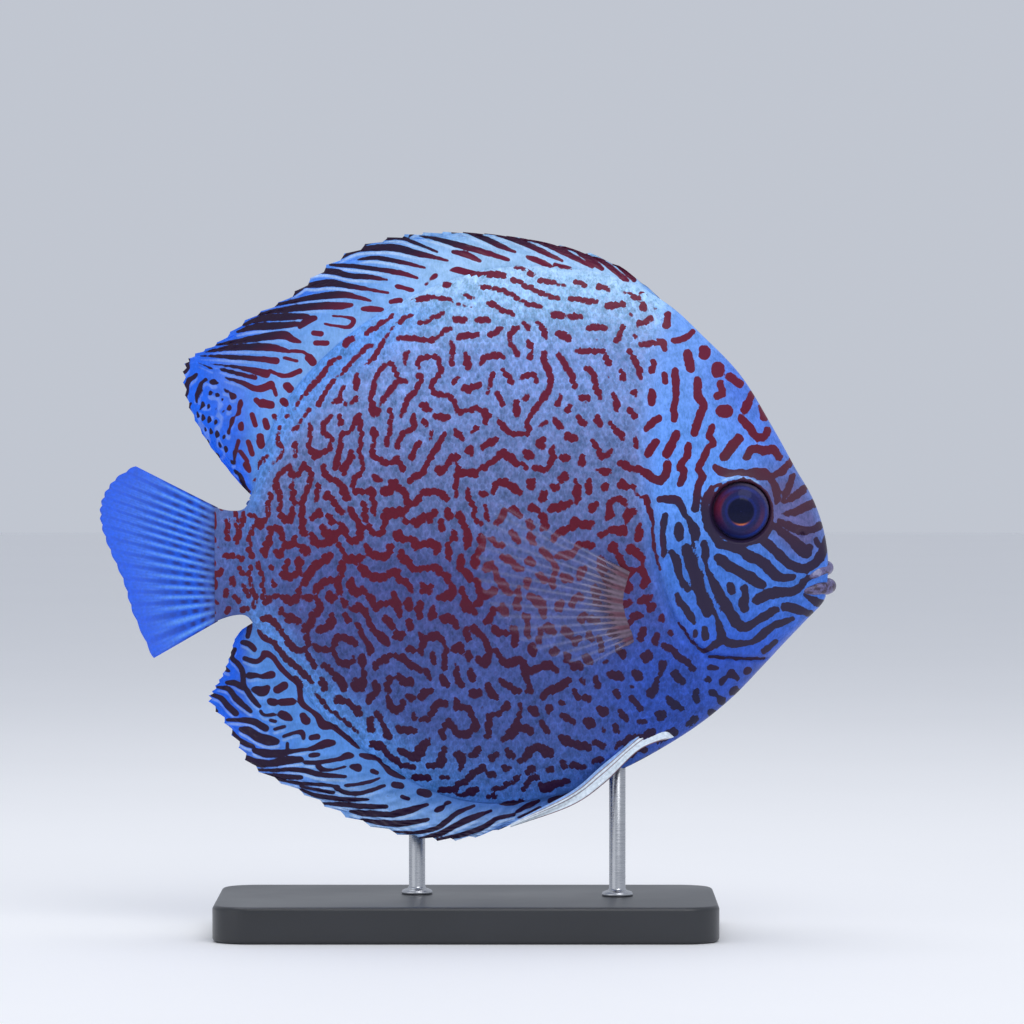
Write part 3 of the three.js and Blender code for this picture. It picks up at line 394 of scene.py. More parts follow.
    (7, (395, 654, 5), (402, 656), (408, 661, 6), (414, 665), (420, 668)),
    (6, (391, 677, 7), (388, 684), (388, 689)), (7, (399, 674, 5), (403, 680), (410, 680), (412, 683, 4)),
    (7, (388, 697, 4), (391, 706), (396, 709), (402, 706), (402, 700, 5)), (7, (410, 695), (412, 697)),
    (4, (414, 711), (414, 717)), (8, (422, 697, 6), (424, 692), (432, 688, 5)),
    (7, (423, 718), (430, 715), (434, 707), (440, 701, 8), (446, 703)), (8, (398, 727, 6), (405, 729), (414, 729)),
    (6, (443, 736), (442, 731), (446, 724), (450, 720), (454, 726), (458, 732), (468, 733, 8)),
    (7, (457, 699), (457, 705)), (6, (462, 705), (467, 707, 7), (473, 714, 4)), (8, (475, 721), (475, 727)),
    (7, (490, 714), (489, 722), (488, 728, 4), (488, 734)), (9, (473, 692), (479, 691)),
    (7, (487, 683, 5), (490, 690), (496, 696)), (8, (443, 676), (446, 682)),
    (6, (456, 663, 3), (457, 672), (459, 680, 8), (463, 682)), (6, (427, 669), (429, 676)),
    (7, (470, 669, 6), (473, 676)), (6, (433, 652, 5), (434, 660)), (6, (469, 652), (469, 657)),
    (8, (455, 647), (460, 644), (461, 651, 4)), (5, (446, 647, 6), (445, 657), (444, 665, 7)),
    (7, (410, 647), (413, 648)), (6, (485, 637), (488, 645), (488, 655, 7), (484, 662, 9), (478, 657, 5)),
    (8, (497, 649, 5), (501, 657, 7), (509, 662), (517, 658), (523, 661, 6), (525, 672, 7), (528, 681, 3),
     (529, 689)), (6, (370, 645), (371, 651)), (5, (361, 632), (366, 640), (369, 646)),
    (7, (532, 669), (540, 665), (548, 663, 8), (556, 668)), (7, (501, 679, 5), (508, 684), (516, 689, 8)),
    (8, (541, 695, 6), (549, 689), (557, 686), (564, 682), (568, 678, 5)), (8, (531, 645), (533, 650)),
    (8, (553, 650), (556, 646, 5)), (7, (566, 653), (566, 657)), (8, (573, 664), (579, 664)),
    (7, (585, 655), (589, 660)), (8, (575, 640), (579, 636, 6)), (7, (588, 633), (590, 637)),
    (6, (599, 634, 4), (600, 643), (601, 648)), (7, (590, 617), (596, 619)), (9, (617, 646, 6), (622, 653)),
    (8, (643, 627, 5), (640, 635)), (6, (656, 634), (654, 641)), (6, (660, 618), (663, 614)),
    (6, (663, 645), (670, 647), (678, 655), (686, 660, 5), (692, 667, 8)), (9, (648, 653), (644, 656)),
    (8, (610, 673), (620, 674)), (5, (595, 675, 4), (597, 681), (596, 685, 6)), (8, (634, 670, 6), (638, 675)),
    (6, (662, 662, 8), (660, 668, 5), (657, 677, 4), (655, 685), (650, 692, 9)), (8, (674, 671), (681, 680, 7)),
    (7, (615, 691), (617, 693)), (6, (573, 690), (577, 696, 5)), (6, (585, 696), (588, 697)),
    (7, (505, 707), (508, 703)), (5, (498, 712), (501, 711)), (5, (520, 703, 4), (520, 712), (516, 722, 8)),
    (8, (532, 707), (538, 713, 4)), (7, (548, 706), (549, 710, 5)), (6, (563, 714), (573, 720, 8)),
    (9, (601, 708), (604, 710)), (7, (620, 711), (627, 718, 4)), (10, (588, 720), (590, 722)),
    (10, (659, 714), (662, 714)), (5, (631, 697, 6), (636, 703), (642, 709, 4)),
    (6, (668, 698), (673, 703, 8), (681, 708)), (7, (695, 690, 6), (696, 698)), (7, (688, 725), (696, 718)),
    (7, (265, 421), (267, 427)), (6, (274, 416), (275, 418)), (8, (260, 437), (261, 444)),
    (6, (256, 400), (261, 405)), (6, (252, 415), (255, 425)), (5, (274, 388), (276, 395)),
)
FIN_STROKES = (
    (4, (409, 237, 2), (416, 232), (430, 230, 3)),
    (6, (420, 236, 2), (440, 240, 5), (465, 247, 7), (490, 254), (508, 260, 4)),
    (3, (365, 245, 2), (380, 240), (400, 238, 5), (415, 243, 4), (437, 252)),
    (5, (337, 261, 2), (355, 251), (375, 248, 7), (395, 248, 8), (415, 253, 7), (432, 257), (448, 261, 3)),
    (5, (358, 260, 2), (375, 258), (400, 262), (425, 268, 3)),
    (5, (330, 265, 3), (350, 266), (375, 269), (400, 273, 6), (417, 278, 3)),
    (3, (298, 285), (310, 275), (322, 271, 6), (335, 272, 7), (350, 276, 6), (368, 277, 6), (387, 280)),
    (3, (290, 297), (298, 289, 8), (305, 286, 4), (315, 285, 7), (330, 283, 8), (350, 286, 6), (388, 293)),
    (6, (262, 308, 2), (285, 303, 4), (310, 298), (335, 295, 8), (352, 296), (371, 301, 3)),
    (4, (250, 316, 2), (270, 312), (290, 309, 7), (320, 306, 8), (340, 306, 8), (352, 305)),
    (5, (363, 309), (372, 309, 7), (382, 310)), (6, (243, 325, 3), (260, 319), (285, 317, 8), (307, 316, 5)),
    (7, (237, 332, 3), (255, 327), (275, 326, 8), (298, 324, 5)),
    (7, (215, 345, 2), (240, 341, 6), (265, 337, 8), (284, 335, 9), (292, 339), (300, 342, 4)),
    (8, (205, 352, 2), (230, 348, 6), (255, 347), (275, 348), (290, 352, 3)),
    (5, (200, 356, 2), (230, 357), (258, 359, 6), (276, 361, 8)),
    (2, (210, 364), (235, 367, 4), (255, 371, 7), (266, 374, 9)), (3, (198, 363, 2), (212, 369)),
    (5, (220, 369, 3), (235, 373), (255, 378)), (3, (225, 378), (240, 382, 5), (257, 389, 7), (271, 385, 9)),
    (8, (345, 344), (352, 339)), (9, (309, 358), (313, 362)), (9, (287, 386), (290, 389)),
    (8, (283, 401), (285, 403)), (9, (263, 403), (271, 405)), (5, (300, 327), (307, 321, 8), (315, 318, 6)),
    (3, (333, 316), (345, 317), (354, 320, 5), (349, 327, 5), (336, 326), (325, 324)), (6, (314, 333), (321, 334)),
    (6, (316, 343), (327, 343)), (4, (291, 351), (303, 352), (311, 358)), (4, (284, 358), (297, 361)),
    (4, (270, 371), (285, 376, 5), (300, 371, 6)), (7, (445, 285), (451, 284)),
    (6, (452, 233, 2), (465, 232, 4), (485, 239), (500, 246), (515, 252, 3)),
    (6, (475, 237, 2), (484, 233, 4), (497, 234, 5), (525, 244), (545, 253), (562, 261, 3)),
    (4, (453, 252), (467, 255, 7), (480, 261)), (4, (527, 257), (538, 261, 7), (550, 266)),
    (5, (515, 240, 2), (533, 240), (553, 247, 7), (575, 258, 6), (592, 267, 4)), (5, (555, 265), (570, 269)),
    (5, (560, 247, 2), (575, 250), (590, 260, 7), (602, 269)),
    (5, (590, 257, 2), (603, 262), (622, 277, 6), (628, 281, 3)), (6, (604, 257, 2), (618, 265), (634, 280, 5)),
    (5, (634, 274, 3), (648, 283), (658, 292), (667, 301, 3)), (5, (240, 452), (247, 461)),
)
KEEL_STROKES = (
    (5, (250, 620, 4), (249, 629, 6), (247, 637)), (6, (242, 643, 5), (249, 645, 7), (254, 650)),
    (6, (262, 619), (270, 618), (280, 630), (290, 643, 7), (298, 650), (306, 647), (308, 636)),
    (6, (258, 631, 4), (263, 638), (273, 643), (281, 652, 7), (289, 661), (297, 666), (305, 675), (312, 681, 5)),
    (6, (234, 650, 5), (231, 658, 5), (237, 664), (242, 672), (243, 685), (248, 694), (254, 702), (259, 707, 4)),
    (6, (244, 659, 5), (255, 662), (262, 658), (265, 654, 8), (273, 658), (282, 670), (290, 677), (299, 684, 8),
     (300, 695), (302, 704, 7), (311, 711, 5), (318, 717, 7), (323, 725, 10), (332, 726, 7), (341, 733), (350, 740),
     (359, 748, 4)), (5, (249, 676, 8), (257, 676), (262, 677), (271, 675, 9)),
    (6, (254, 690), (262, 692, 11), (267, 688)), (9, (277, 690), (284, 686)), (8, (270, 702), (274, 703)),
    (8, (281, 703), (292, 702)), (4, (260, 712), (264, 716), (274, 715)),
    (9, (281, 715), (286, 717), (291, 720, 4)), (7, (303, 716), (306, 721, 10)), (4, (270, 721), (275, 722)),
    (4, (274, 730), (284, 727)), (4, (283, 737), (295, 733), (302, 733, 6), (303, 739)),
    (6, (311, 738), (317, 737, 7)), (7, (211, 696, 4), (220, 699, 6), (228, 708), (235, 714)),
    (7, (217, 688, 3), (228, 690, 6), (236, 700), (250, 712, 5)), (7, (226, 683, 4), (235, 684), (242, 689, 5)),
    (3, (226, 721), (238, 721, 5), (252, 722, 7), (265, 729, 8)),
    (9, (240, 730, 5), (248, 732), (258, 738, 10), (268, 741, 11), (276, 742, 7)),
    (5, (228, 728, 2), (237, 739), (246, 745, 6), (253, 747, 4)),
    (5, (254, 751), (265, 754, 9), (280, 754, 8), (290, 752), (305, 750, 4), (315, 748, 6), (325, 744, 9),
     (333, 743, 6)), (4, (287, 744), (287, 750)),
    (9, (244, 757, 4), (255, 763), (270, 764, 8), (285, 761), (300, 760, 7)), (5, (310, 756), (318, 755)),
    (4, (250, 770, 2), (270, 771), (290, 770, 5), (305, 771, 6), (320, 775, 6), (345, 777)),
    (5, (305, 763), (315, 763), (330, 761), (340, 759), (347, 756, 8), (352, 756)),
    (3, (318, 767, 6), (323, 770, 5), (333, 770), (345, 767)), (9, (352, 767, 5), (358, 768)),
    (6, (262, 775, 3), (282, 777), (301, 778, 5)), (4, (275, 780, 2), (300, 784), (320, 785), (338, 787)),
    (4, (345, 786), (355, 785), (370, 782), (380, 778, 3)), (4, (300, 787, 3), (320, 791), (333, 793)),
    (5, (335, 788), (345, 793), (358, 794), (370, 791), (384, 786, 4)),
    (5, (300, 790, 3), (315, 796), (335, 799), (350, 800), (368, 800, 3)),
    (5, (316, 804, 2), (340, 805), (365, 807, 6), (386, 807)), (7, (350, 812, 3), (365, 814), (388, 815, 6)),
    (7, (392, 815), (400, 813, 8), (412, 810), (427, 805, 4)),
    (6, (360, 820, 2), (380, 823), (402, 824, 7), (428, 820, 4)),
    (6, (392, 832, 2), (415, 833, 4), (435, 829, 5), (446, 822), (456, 814), (474, 806, 3)),
    (6, (418, 839, 3), (440, 834), (455, 826), (470, 819, 7), (491, 811, 3)),
    (6, (437, 840, 3), (462, 835), (484, 827), (497, 819, 5), (514, 815, 4)),
    (6, (500, 804, 3), (512, 803), (523, 799)), (4, (517, 812), (528, 806, 6), (539, 801)),
    (5, (518, 818, 3), (530, 814), (540, 808, 4)),
    (5, (361, 755), (370, 757, 7), (378, 759), (384, 766), (392, 773, 7), (404, 778, 4)),
    (5, (372, 771, 6), (377, 773)),
    (6, (372, 744), (381, 746, 8), (388, 753), (395, 760), (403, 765), (414, 767, 4)), (7, (394, 785), (401, 786)),
    (5, (402, 797), (408, 799)), (8, (420, 792), (428, 794, 9)), (6, (414, 778), (424, 777), (429, 778)),
    (4, (442, 777), (447, 777)), (6, (440, 790), (451, 789), (460, 783), (468, 779, 7), (474, 772), (483, 767, 7)),
    (5, (458, 796, 3), (468, 792), (474, 790, 9)), (5, (493, 789, 4), (505, 785), (515, 779), (521, 774, 3)),
    (6, (489, 797), (495, 796)), (6, (489, 774), (494, 774)),
    (5, (523, 788), (527, 784), (532, 778), (539, 775, 3)), (6, (528, 770), (533, 767)),
    (5, (541, 785), (546, 787, 9), (560, 782, 6), (569, 780)), (6, (563, 761), (564, 766)),
    (7, (573, 764), (582, 766)), (6, (430, 765), (438, 765), (442, 759, 8), (443, 752), (446, 747)),
    (8, (400, 750, 5), (410, 754), (418, 755, 10), (421, 747), (428, 740)),
    (8, (458, 753), (462, 755), (461, 768, 5)), (8, (473, 754), (478, 749)), (7, (491, 757), (497, 754)),
    (7, (508, 750), (512, 755)), (7, (521, 760, 5), (527, 754), (531, 748, 8), (540, 746), (549, 752, 11)),
    (9, (503, 738, 6), (510, 733), (516, 727)), (8, (525, 727), (530, 729)),
    (8, (562, 737, 9), (572, 742), (587, 746)), (6, (595, 741), (603, 745)), (5, (541, 720), (547, 730)),
    (6, (615, 725), (616, 730)),
)

# Share of the fish's height, colour: between the markings, the same on the head, and of the markings
# The colours pale towards the back and darken lower down: partly the fish's own colours, partly painted light from
# above and painted shade below
GROUND_STOPS = ((0.02, "keel"), (0.2, "belly"), (0.42, "underside"), (0.6, "flank"), (0.78, "shoulder"), (0.92, "back"))
HEAD_STOPS = ((0.28, "jaw"), (0.45, "cheek"), (0.58, "temple"), (0.8, "nape"))
INK_STOPS = ((0.05, "ink_keel"), (0.25, "ink_low"), (0.5, "ink_flank"), (0.9, "ink_back"))
# Soft spots of colour: x and y in the photo, radius in millimetres, strength
STALK_SPOT = (250, 560, 13.0, 0.9)
# The breast's deep blue and its darker markings: partly their own colour and partly painted shade
BREAST_SPOT, INK_BREAST_SPOT = (690, 695, 19.0, 1.3), (700, 705, 19.0, 1.0)
BROW_SPOTS = ((785, 435, 10.0, 1.0), (740, 380, 8.0, 1.0))
HAZE_SPOTS = ((782, 498, 7.5, 1.0), (802, 533, 5.5, 0.8))
INK_BROW_SPOTS = ((790, 495, 9.0, 1.0), (735, 470, 5.0, 1.0))
REAR_LOBE_SPOT = (218, 425, 9.0, 1.0)

# Grid that the markings are worked out on, and the passes of noise that make the maze
FIELD_STEP = 0.25
FIELD_X, FIELD_Z = (-88.0, 86.0), (14.0, 160.0)
FIELD_ROUNDS = 4
FIELD_BAND, FIELD_TIGHTNESS, FIELD_GAIN = 0.5, 1.3, 1.2
DIRECTIONS = 8
FIN_MARK_WIDTH = 0.72
SPARSE_PULL, STROKE_SLOPE, LEVEL_LIMIT = 1.1, 2.2, 1.6
# Strokes: straight runs between two points, how far from one its depth is worked out, and depth far off
STROKE_RUNS, STROKE_REACH, FAR_OFF = 5, 2.6, -9.0
# Seed of each side's field, how far its strokes are shifted at random in pixels, and its flank's strokes
FIELD_SIDES = {"right": (7, 0.0, FLANK_STROKES), "left": (23, 1.6, ())}

# Scales: seeds, cells across and along one, how much more the markings cover low on the flank, and the
# point behind the tail that they all point to
SCALE_SEEDS = {"right": 31, "left": 32}
SCALE_CELLS = 4
LOW_COVER = {"right": 0.35, "left": 0.08}
SCALE_AIM = (-110.0, 61.0)

# Paint of the iris: colour, radii in pixels from where it starts to where it ends, middle and spread of
# its arc in degrees, strength. The third arc, blue and low in front, is a painted reflection
EYE_ARCS = (
    ((108, 36, 62), (18, 21, 26, 29), 165, 42, 1.0), ((84, 48, 84), (18, 21, 23, 26), -25, 40, 0.7),
    ((44, 68, 160), (23, 26, 28, 30.5), -50, 62, 1.0), ((58, 66, 140), (21, 23, 24, 26), 85, 50, 0.7),
)
PUPIL_PIXELS = 13.4

# Stand: size of the base, its rounded corners and edges; rods, and how far one reaches into the fish
BASE_SIZE, BASE_CORNER, BASE_EDGE = (110.0, 60.0, 8.0), 8.0, 1.0
ROD_RADIUS, ROD_TUCK = 1.8, 1.5
FRONT_ROD_AT, BACK_ROD_AT = (33.2, 0.0), (-11.0, 5.2)

# Skins: relief, grain, softness of the markings' edges, how ragged they are
WET_SKIN, SCALED_SKIN, FIN_SKIN = (0.4, 0.9, 0.3, 2.3), (0.6, 1.2, 0.34, 1.3), (0.25, 0.45, 0.3, 0.9)
# See-through fins: cover of the membrane and of the rays, roughness
TAIL_COVER, FAN_COVER, STREAMER_COVER = (0.95, 1.0, 0.45), (0.03, 0.17, 0.45), (1.0, 1.0, 0.4)
# Lengths of skin: first and last station, stations, rows from belly to back, where it stops being tucked in
HEAD_SKIN, BODY_SKIN = (0.0, 8.9, 196, 246, -1.0), (8.4, LAST, 130, 200, 9.0)
# Lips: mouth corner as x, y and height, middle of the lip as x and height, radius at either
UPPER_LIP = ((73.7, 4.3, 58.2), (79.0, 60.3), (0.8, 1.7))
LOWER_LIP = ((73.7, 4.3, 55.4), (79.5, 56.3), (0.8, 1.8))

# Lights in metres and watts: name, place, size, power
LIGHTS = (
    ("key", (0.3, -0.7, 0.95), 0.7, 3.4), ("fill", (-0.8, -0.6, 0.35), 0.9, 0.8),
    ("top", (-0.05, 0.15, 0.9), 0.6, 2.2),
)
LIGHTS_AIM, SKY_STRENGTH, FLOOR_RADIUS = (0.0, 0.0, 0.09), 0.7, 3.0


def screen(red, green, blue):
    """A colour given as screen values out of 255, in linear light."""
    value = np.array((red, green, blue), float) / 255
    return np.where(value <= 0.04045, value / 12.92, ((value + 0.055) / 1.055) ** 2.4)


def swatch(name, description, red, green, blue):
    """A colour property whose default is given as screen values out of 255."""
    return bpy.props.FloatVectorProperty(
        name=name, description=description, subtype="COLOR", size=3, min=0.0, max=1.0,
        default=[float(value) for value in screen(red, green, blue)])


class DiscusColours(bpy.types.PropertyGroup):
    """Colours of the skin between the markings, of the markings and of the fins."""
    # Back to keel: partly the skin's own colours and partly painted light from above, paler on the back, and painted
    # shade, darker low on the flank
    back: swatch("Back", "Skin along the back", 158, 206, 252)
    shoulder: swatch("Shoulder", "Skin between back and flank", 124, 156, 220)
    flank: swatch("Flank", "Skin along the middle of the side", 102, 122, 178)
    underside: swatch("Lower flank", "Skin below the middle of the side", 70, 82, 144)
    belly: swatch("Belly", "Skin above the belly's edge", 66, 90, 162)
    keel: swatch("Keel", "Skin along the belly's edge", 72, 122, 208)
    margin: swatch("Rear margin", "Skin by the edges of the body's rear half", 92, 156, 240)
    # Crest also serves as painted light: the highlight over the eye, the lightened root of the back fin and the
    # lightened front of the belly fin
    crest: swatch("Crest", "Pale band where the back meets its fin", 168, 208, 250)
    # Breast: partly its own deep blue and partly painted shade under the body
    breast: swatch("Breast", "Skin of the breast, below the gills", 42, 80, 180)
    # Jaw to nape: partly their own colours and partly painted light from above, paler upwards
    jaw: swatch("Jaw", "Skin of the throat and jaw", 38, 84, 200)
    cheek: swatch("Cheek", "Skin of the cheek and gill cover", 66, 120, 214)
    temple: swatch("Temple", "Skin behind the eye", 100, 158, 250)
    nape: swatch("Nape", "Skin between the forehead and the back", 112, 162, 242)
    brow: swatch("Brow", "Skin of the forehead", 86, 130, 232)
    haze: swatch("Eye patch", "Dusky patch in front of the eye", 96, 84, 126)
    stalk: swatch("Tail stalk", "Skin of the tail stalk", 76, 100, 166)
    # Markings from back to keel: darker lower down, partly as painted shade
    ink_back: swatch("Back markings", "Markings along the back", 108, 18, 54)
    ink_flank: swatch("Flank markings", "Maze of markings on the side", 98, 8, 38)
    ink_low: swatch("Lower markings", "Markings of the lower side", 60, 8, 46)
    ink_keel: swatch("Belly markings", "Markings along the belly's edge", 42, 14, 54)
    # Breast markings: darkened partly as painted shade
    ink_breast: swatch("Breast markings", "Spots of the breast", 22, 18, 60)
    ink_fin: swatch("Fin markings", "Stripes of the back and belly fins", 36, 14, 48)
    ink_face: swatch("Face markings", "Strokes on the face", 42, 32, 62)
    ink_brow: swatch("Brow markings", "Strokes above the eye", 78, 44, 62)
    fin: swatch("Fin membrane", "Outer part of the back and belly fins", 6, 104, 246)
    # Painted highlight: pale streaks along the fins' dark stripes
    highlight_and_tone: swatch("Fin gleam", "Pale streaks under the fins' stripes", 190, 220, 254)
    tail: swatch("Tail fin", "Membrane of the tail fin", 4, 98, 246)
    tail_ray: swatch("Tail rays", "Rays of the tail fin", 120, 182, 254)
    breast_fin: swatch("Breast fins", "Clear fans behind the gills", 176, 176, 210)
    fin_base: swatch("Breast fin base", "Fleshy base of the breast fins", 118, 100, 118)
    streamer: swatch("Belly streamers", "Rays of the belly streamers", 232, 244, 254)
    pupil: swatch("Pupil", "Middle of the eye", 14, 18, 50)
    iris: swatch("Iris", "Ring round the pupil", 34, 38, 88)
    lips: swatch("Lips", "Soft skin of the lips", 104, 98, 142)
    stand: swatch("Stand", "Base of the stand", 40, 42, 46)
    floor: swatch("Floor", "Plain floor under the stand", 250, 250, 251)


class DiscusSizes(bpy.types.PropertyGroup):
    """Sizes and strengths that a user would change."""
    scale_pitch: bpy.props.FloatProperty(
        name="Scale pitch", description="Distance between neighbouring scales", default=0.0015,
        min=0.0012, max=0.004, unit="LENGTH")
    scale_lift: bpy.props.FloatProperty(
        name="Scale lift", description="Height of a scale's free edge over the skin", default=0.00013,
        min=0.0, max=0.0004, unit="LENGTH")
    mark_spacing: bpy.props.FloatProperty(
        name="Mark spacing", description="Distance from one marking to the next", default=0.0035,
        min=0.002, max=0.008, unit="LENGTH")
    fin_clearness: bpy.props.FloatProperty(
        name="Fin edge cover", description="How much the membrane hides at the edge of a fin", default=0.95,
        min=0.0, max=1.0, subtype="FACTOR")
    camera_distance: bpy.props.FloatProperty(
        name="Camera distance", description="From the camera to the fish's middle plane", default=1.4,
        min=0.3, max=3.0, unit="LENGTH")


def photo_point(x, y):
    """A pixel of the photo as x and z in millimetres on the fish's middle plane."""
    left, foot = PHOTO_ORIGIN
    return (np.asarray(x, float) - left) * MM_PER_PIXEL, (foot - np.asarray(y, float)) * MM_PER_PIXEL + LIFT


def smooth(low, high, value):
    """0 below low, 1 above high, and an S curve between them."""
    t = np.clip((value - low) / (high - low), 0.0, 1.0)
    return t * t * (3.0 - 2.0 * t)


def mix(a, b, t):
    """a where t is 0 and b where t is 1."""
    return a + (b - a) * t


def spline(points, at):
    """Uniform Catmull-Rom curve through the points; at counts points from 0 and may be an array."""
    points = np.asarray(points, float)
    last = len(points) - 1
    at = np.clip(np.asarray(at, float), 0.0, last)
    low = np.minimum(at.astype(int), last - 1)
    t = (at - low)[..., None]
    p0, p1 = points[np.maximum(low - 1, 0)], points[low]
    p2, p3 = points[low + 1], points[np.minimum(low + 2, last)]
    pull_in, pull_out = (p2 - p0) / 2, (p3 - p1) / 2
    return ((2 * p1 - 2 * p2 + pull_in + pull_out) * t ** 3
            + (3 * p2 - 3 * p1 - 2 * pull_in - pull_out) * t ** 2 + pull_in * t + p1)


def line_distance(x, z, points):
    """Distance from each point to a broken line, and which side it is on: positive on the line's left."""
    best = np.full(np.shape(x), 1e9)
    side = np.ones(np.shape(x))
    for (ax, az), (bx, bz) in zip(points[:-1], points[1:]):
        dx, dz = bx - ax, bz - az
        t = np.clip(((x - ax) * dx + (z - az) * dz) / (dx * dx + dz * dz), 0.0, 1.0)
        gap = np.hypot(x - ax - t * dx, z - az - t * dz)
        nearer = gap < best
        turn = np.sign(dx * (z - az) - dz * (x - ax))
        best, side = np.where(nearer, gap, best), np.where(nearer, turn, side)
    return best, side


def lifted(points):
    """Points given as x and height over the lowest fin, as x and z."""
    return tuple((x, z + LIFT) for x, z in points)


def bend(x):
    """The tail end swings to +Y as a parabola."""
    t = np.clip((BEND_START - x) / (BEND_START - BEND_END), 0.0, 1.0)
    return BEND_SHIFT * t * t


STATION_TABLE = np.linspace(0.0, LAST, 801)
HALVINGS = 16
BACK_TABLE = spline(lifted(BACK_LINE), STATION_TABLE)
BELLY_TABLE = spline(lifted(BELLY_LINE), STATION_TABLE)


def edge_at(table, station):
    """Point of the back or belly edge at a station."""
    return np.stack([np.interp(station, STATION_TABLE, table[:, k]) for k in (0, 1)], -1)


def chord_at(station):
    """Foot of the chord on the belly edge at a station, and the chord from there up to the back edge."""
    belly = edge_at(BELLY_TABLE, station)
    return belly, edge_at(BACK_TABLE, station) - belly


def body_station(x, z):
    """Station and height share of the chord through each point, found by halving."""
    low, high = np.zeros(np.shape(x)), np.full(np.shape(x), float(LAST))
    for _ in range(HALVINGS):
        middle = (low + high) / 2
        belly, chord = chord_at(middle)
        ahead = chord[..., 0] * (z - belly[..., 1]) < chord[..., 1] * (x - belly[..., 0])
        low, high = np.where(ahead, low, middle), np.where(ahead, middle, high)
    belly, chord = chord_at(low)
    share = ((x - belly[..., 0]) * chord[..., 0] + (z - belly[..., 1]) * chord[..., 1]) / (chord ** 2).sum(-1)
    return low, np.clip(share, 0.0, 1.0)


def body_half(station, share):
    """Half thickness: a rim plus a swell of (4 v (1 - v)) to a power that rounds the head's edges more."""
    rim = mix(NAPE_RIM, FIN_RIM, smooth(6.6, 8.0, station))
    power = mix(HEAD_POWER, TORSO_POWER, smooth(5.0, 9.0, station))
    half = np.interp(station, np.arange(LAST + 1), HALF_THICKNESS)
    return rim + (half - rim) * (4 * share * (1 - share)) ** power


def skin_relief(x, z):
    """Height of folds over the plain body, in millimetres.

    The gill cover stands proud of its rear edge and fades forward, with a groove behind it. Each crease is
    a bell across its line. The eye has a raised rim round a sunken socket, and so has the nostril.
    """
    gap, side = line_distance(x, z, lifted(GILL_OPENING))
    ahead = gap * side
    cover = smooth(-0.1, 0.5, ahead) * np.exp(-np.maximum(ahead, 0) / 8.0) * smooth(106.0, 96.0, z)
    height = 0.75 * cover - 0.35 * np.exp(-((ahead + 0.35) / 0.4) ** 2) * smooth(106.0, 100.0, z)
    for line, rise, reach in CREASES:
        height += rise * np.exp(-(line_distance(x, z, line)[0] / reach) ** 2)
    eye = np.hypot(x - EYE_AT[0], z - EYE_AT[1] - LIFT)
    height += 0.45 * np.exp(-((eye - 7.3) / 0.9) ** 2) - 3.2 * smooth(6.9, 5.9, eye)
    nostril = np.hypot(x - NOSTRIL_AT[0], z - NOSTRIL_AT[1] - LIFT)
    return height + 0.18 * np.exp(-((nostril - 1.1) / 0.35) ** 2) - 0.8 * np.exp(-(nostril / 0.55) ** 2)


def photo_line(*points):
    """A broken line through the photo's pixels, in millimetres."""
    x, z = photo_point(*zip(*points))
    return tuple(zip(x, z))


CHEEK_GROOVE = photo_line((688, 520), (692, 550), (699, 580), (709, 610), (722, 634))
THROAT_GROOVE = photo_line((708, 654), (736, 657), (764, 658))
JAW_GROOVE = photo_line((801, 584), (812, 580), (824, 577))
LATERAL_LINE = photo_line(
    (660, 486), (620, 455), (590, 443), (565, 437), (530, 435), (500, 436), (445, 441), (400, 455),
    (372, 466))
PECTORAL_BASE = photo_line((634, 584), (622, 606), (624, 632))
# Grooves and ridges of the skin: line, height, width
CREASES = (
    (CHEEK_GROOVE, -0.3, 0.9), (THROAT_GROOVE, -0.3, 0.5), (JAW_GROOVE, -0.35, 0.55),
    (LATERAL_LINE, 0.08, 0.5), (PECTORAL_BASE, 0.5, 2.4),
)
# Painted highlight: a pale line along the top of the eye's rim
LID_HIGHLIGHT_LINE = photo_line((720, 480), (731, 477), (740, 476.5), (749, 478.5), (757, 482))


def skin_half(x, z):
    """Half thickness of the finished skin over any point of the side view."""
    station, share = body_station(x, z)
    return np.maximum(body_half(station, share) + skin_relief(x, z), 0.1)


def stroke_depth(x_axis, z_axis, strokes, jitter, rng):
    """Half the stroke's width less the distance to the nearest stroke, in millimetres; FAR_OFF elsewhere.

    Strokes are Catmull-Rom curves, cut into short straight runs.
    """
    depth = np.full((len(x_axis), len(z_axis)), FAR_OFF)
    for width, *points in strokes:
        rows = np.array([(*point, width)[:3] for point in points], float)
        rows[:, :2] += jitter * rng.standard_normal((len(rows), 2))
        curve = spline(rows, np.linspace(0, len(rows) - 1, STROKE_RUNS * (len(rows) - 1) + 1))
        px, pz = photo_point(curve[:, 0], curve[:, 1])
        half = (curve[1:, 2] + curve[:-1, 2]) / 4 * MM_PER_PIXEL
        for ax, az, bx, bz, wide in zip(px[:-1], pz[:-1], px[1:], pz[1:], half):
            reach = wide + STROKE_REACH
            i0, i1 = np.searchsorted(x_axis, (min(ax, bx) - reach, max(ax, bx) + reach))
            j0, j1 = np.searchsorted(z_axis, (min(az, bz) - reach, max(az, bz) + reach))
            x, z = np.meshgrid(x_axis[i0:i1], z_axis[j0:j1], indexing="ij")
            gap, _ = line_distance(x, z, ((ax, az), (bx, bz)))
            depth[i0:i1, j0:j1] = np.maximum(depth[i0:i1, j0:j1], wide - gap)
    return depth


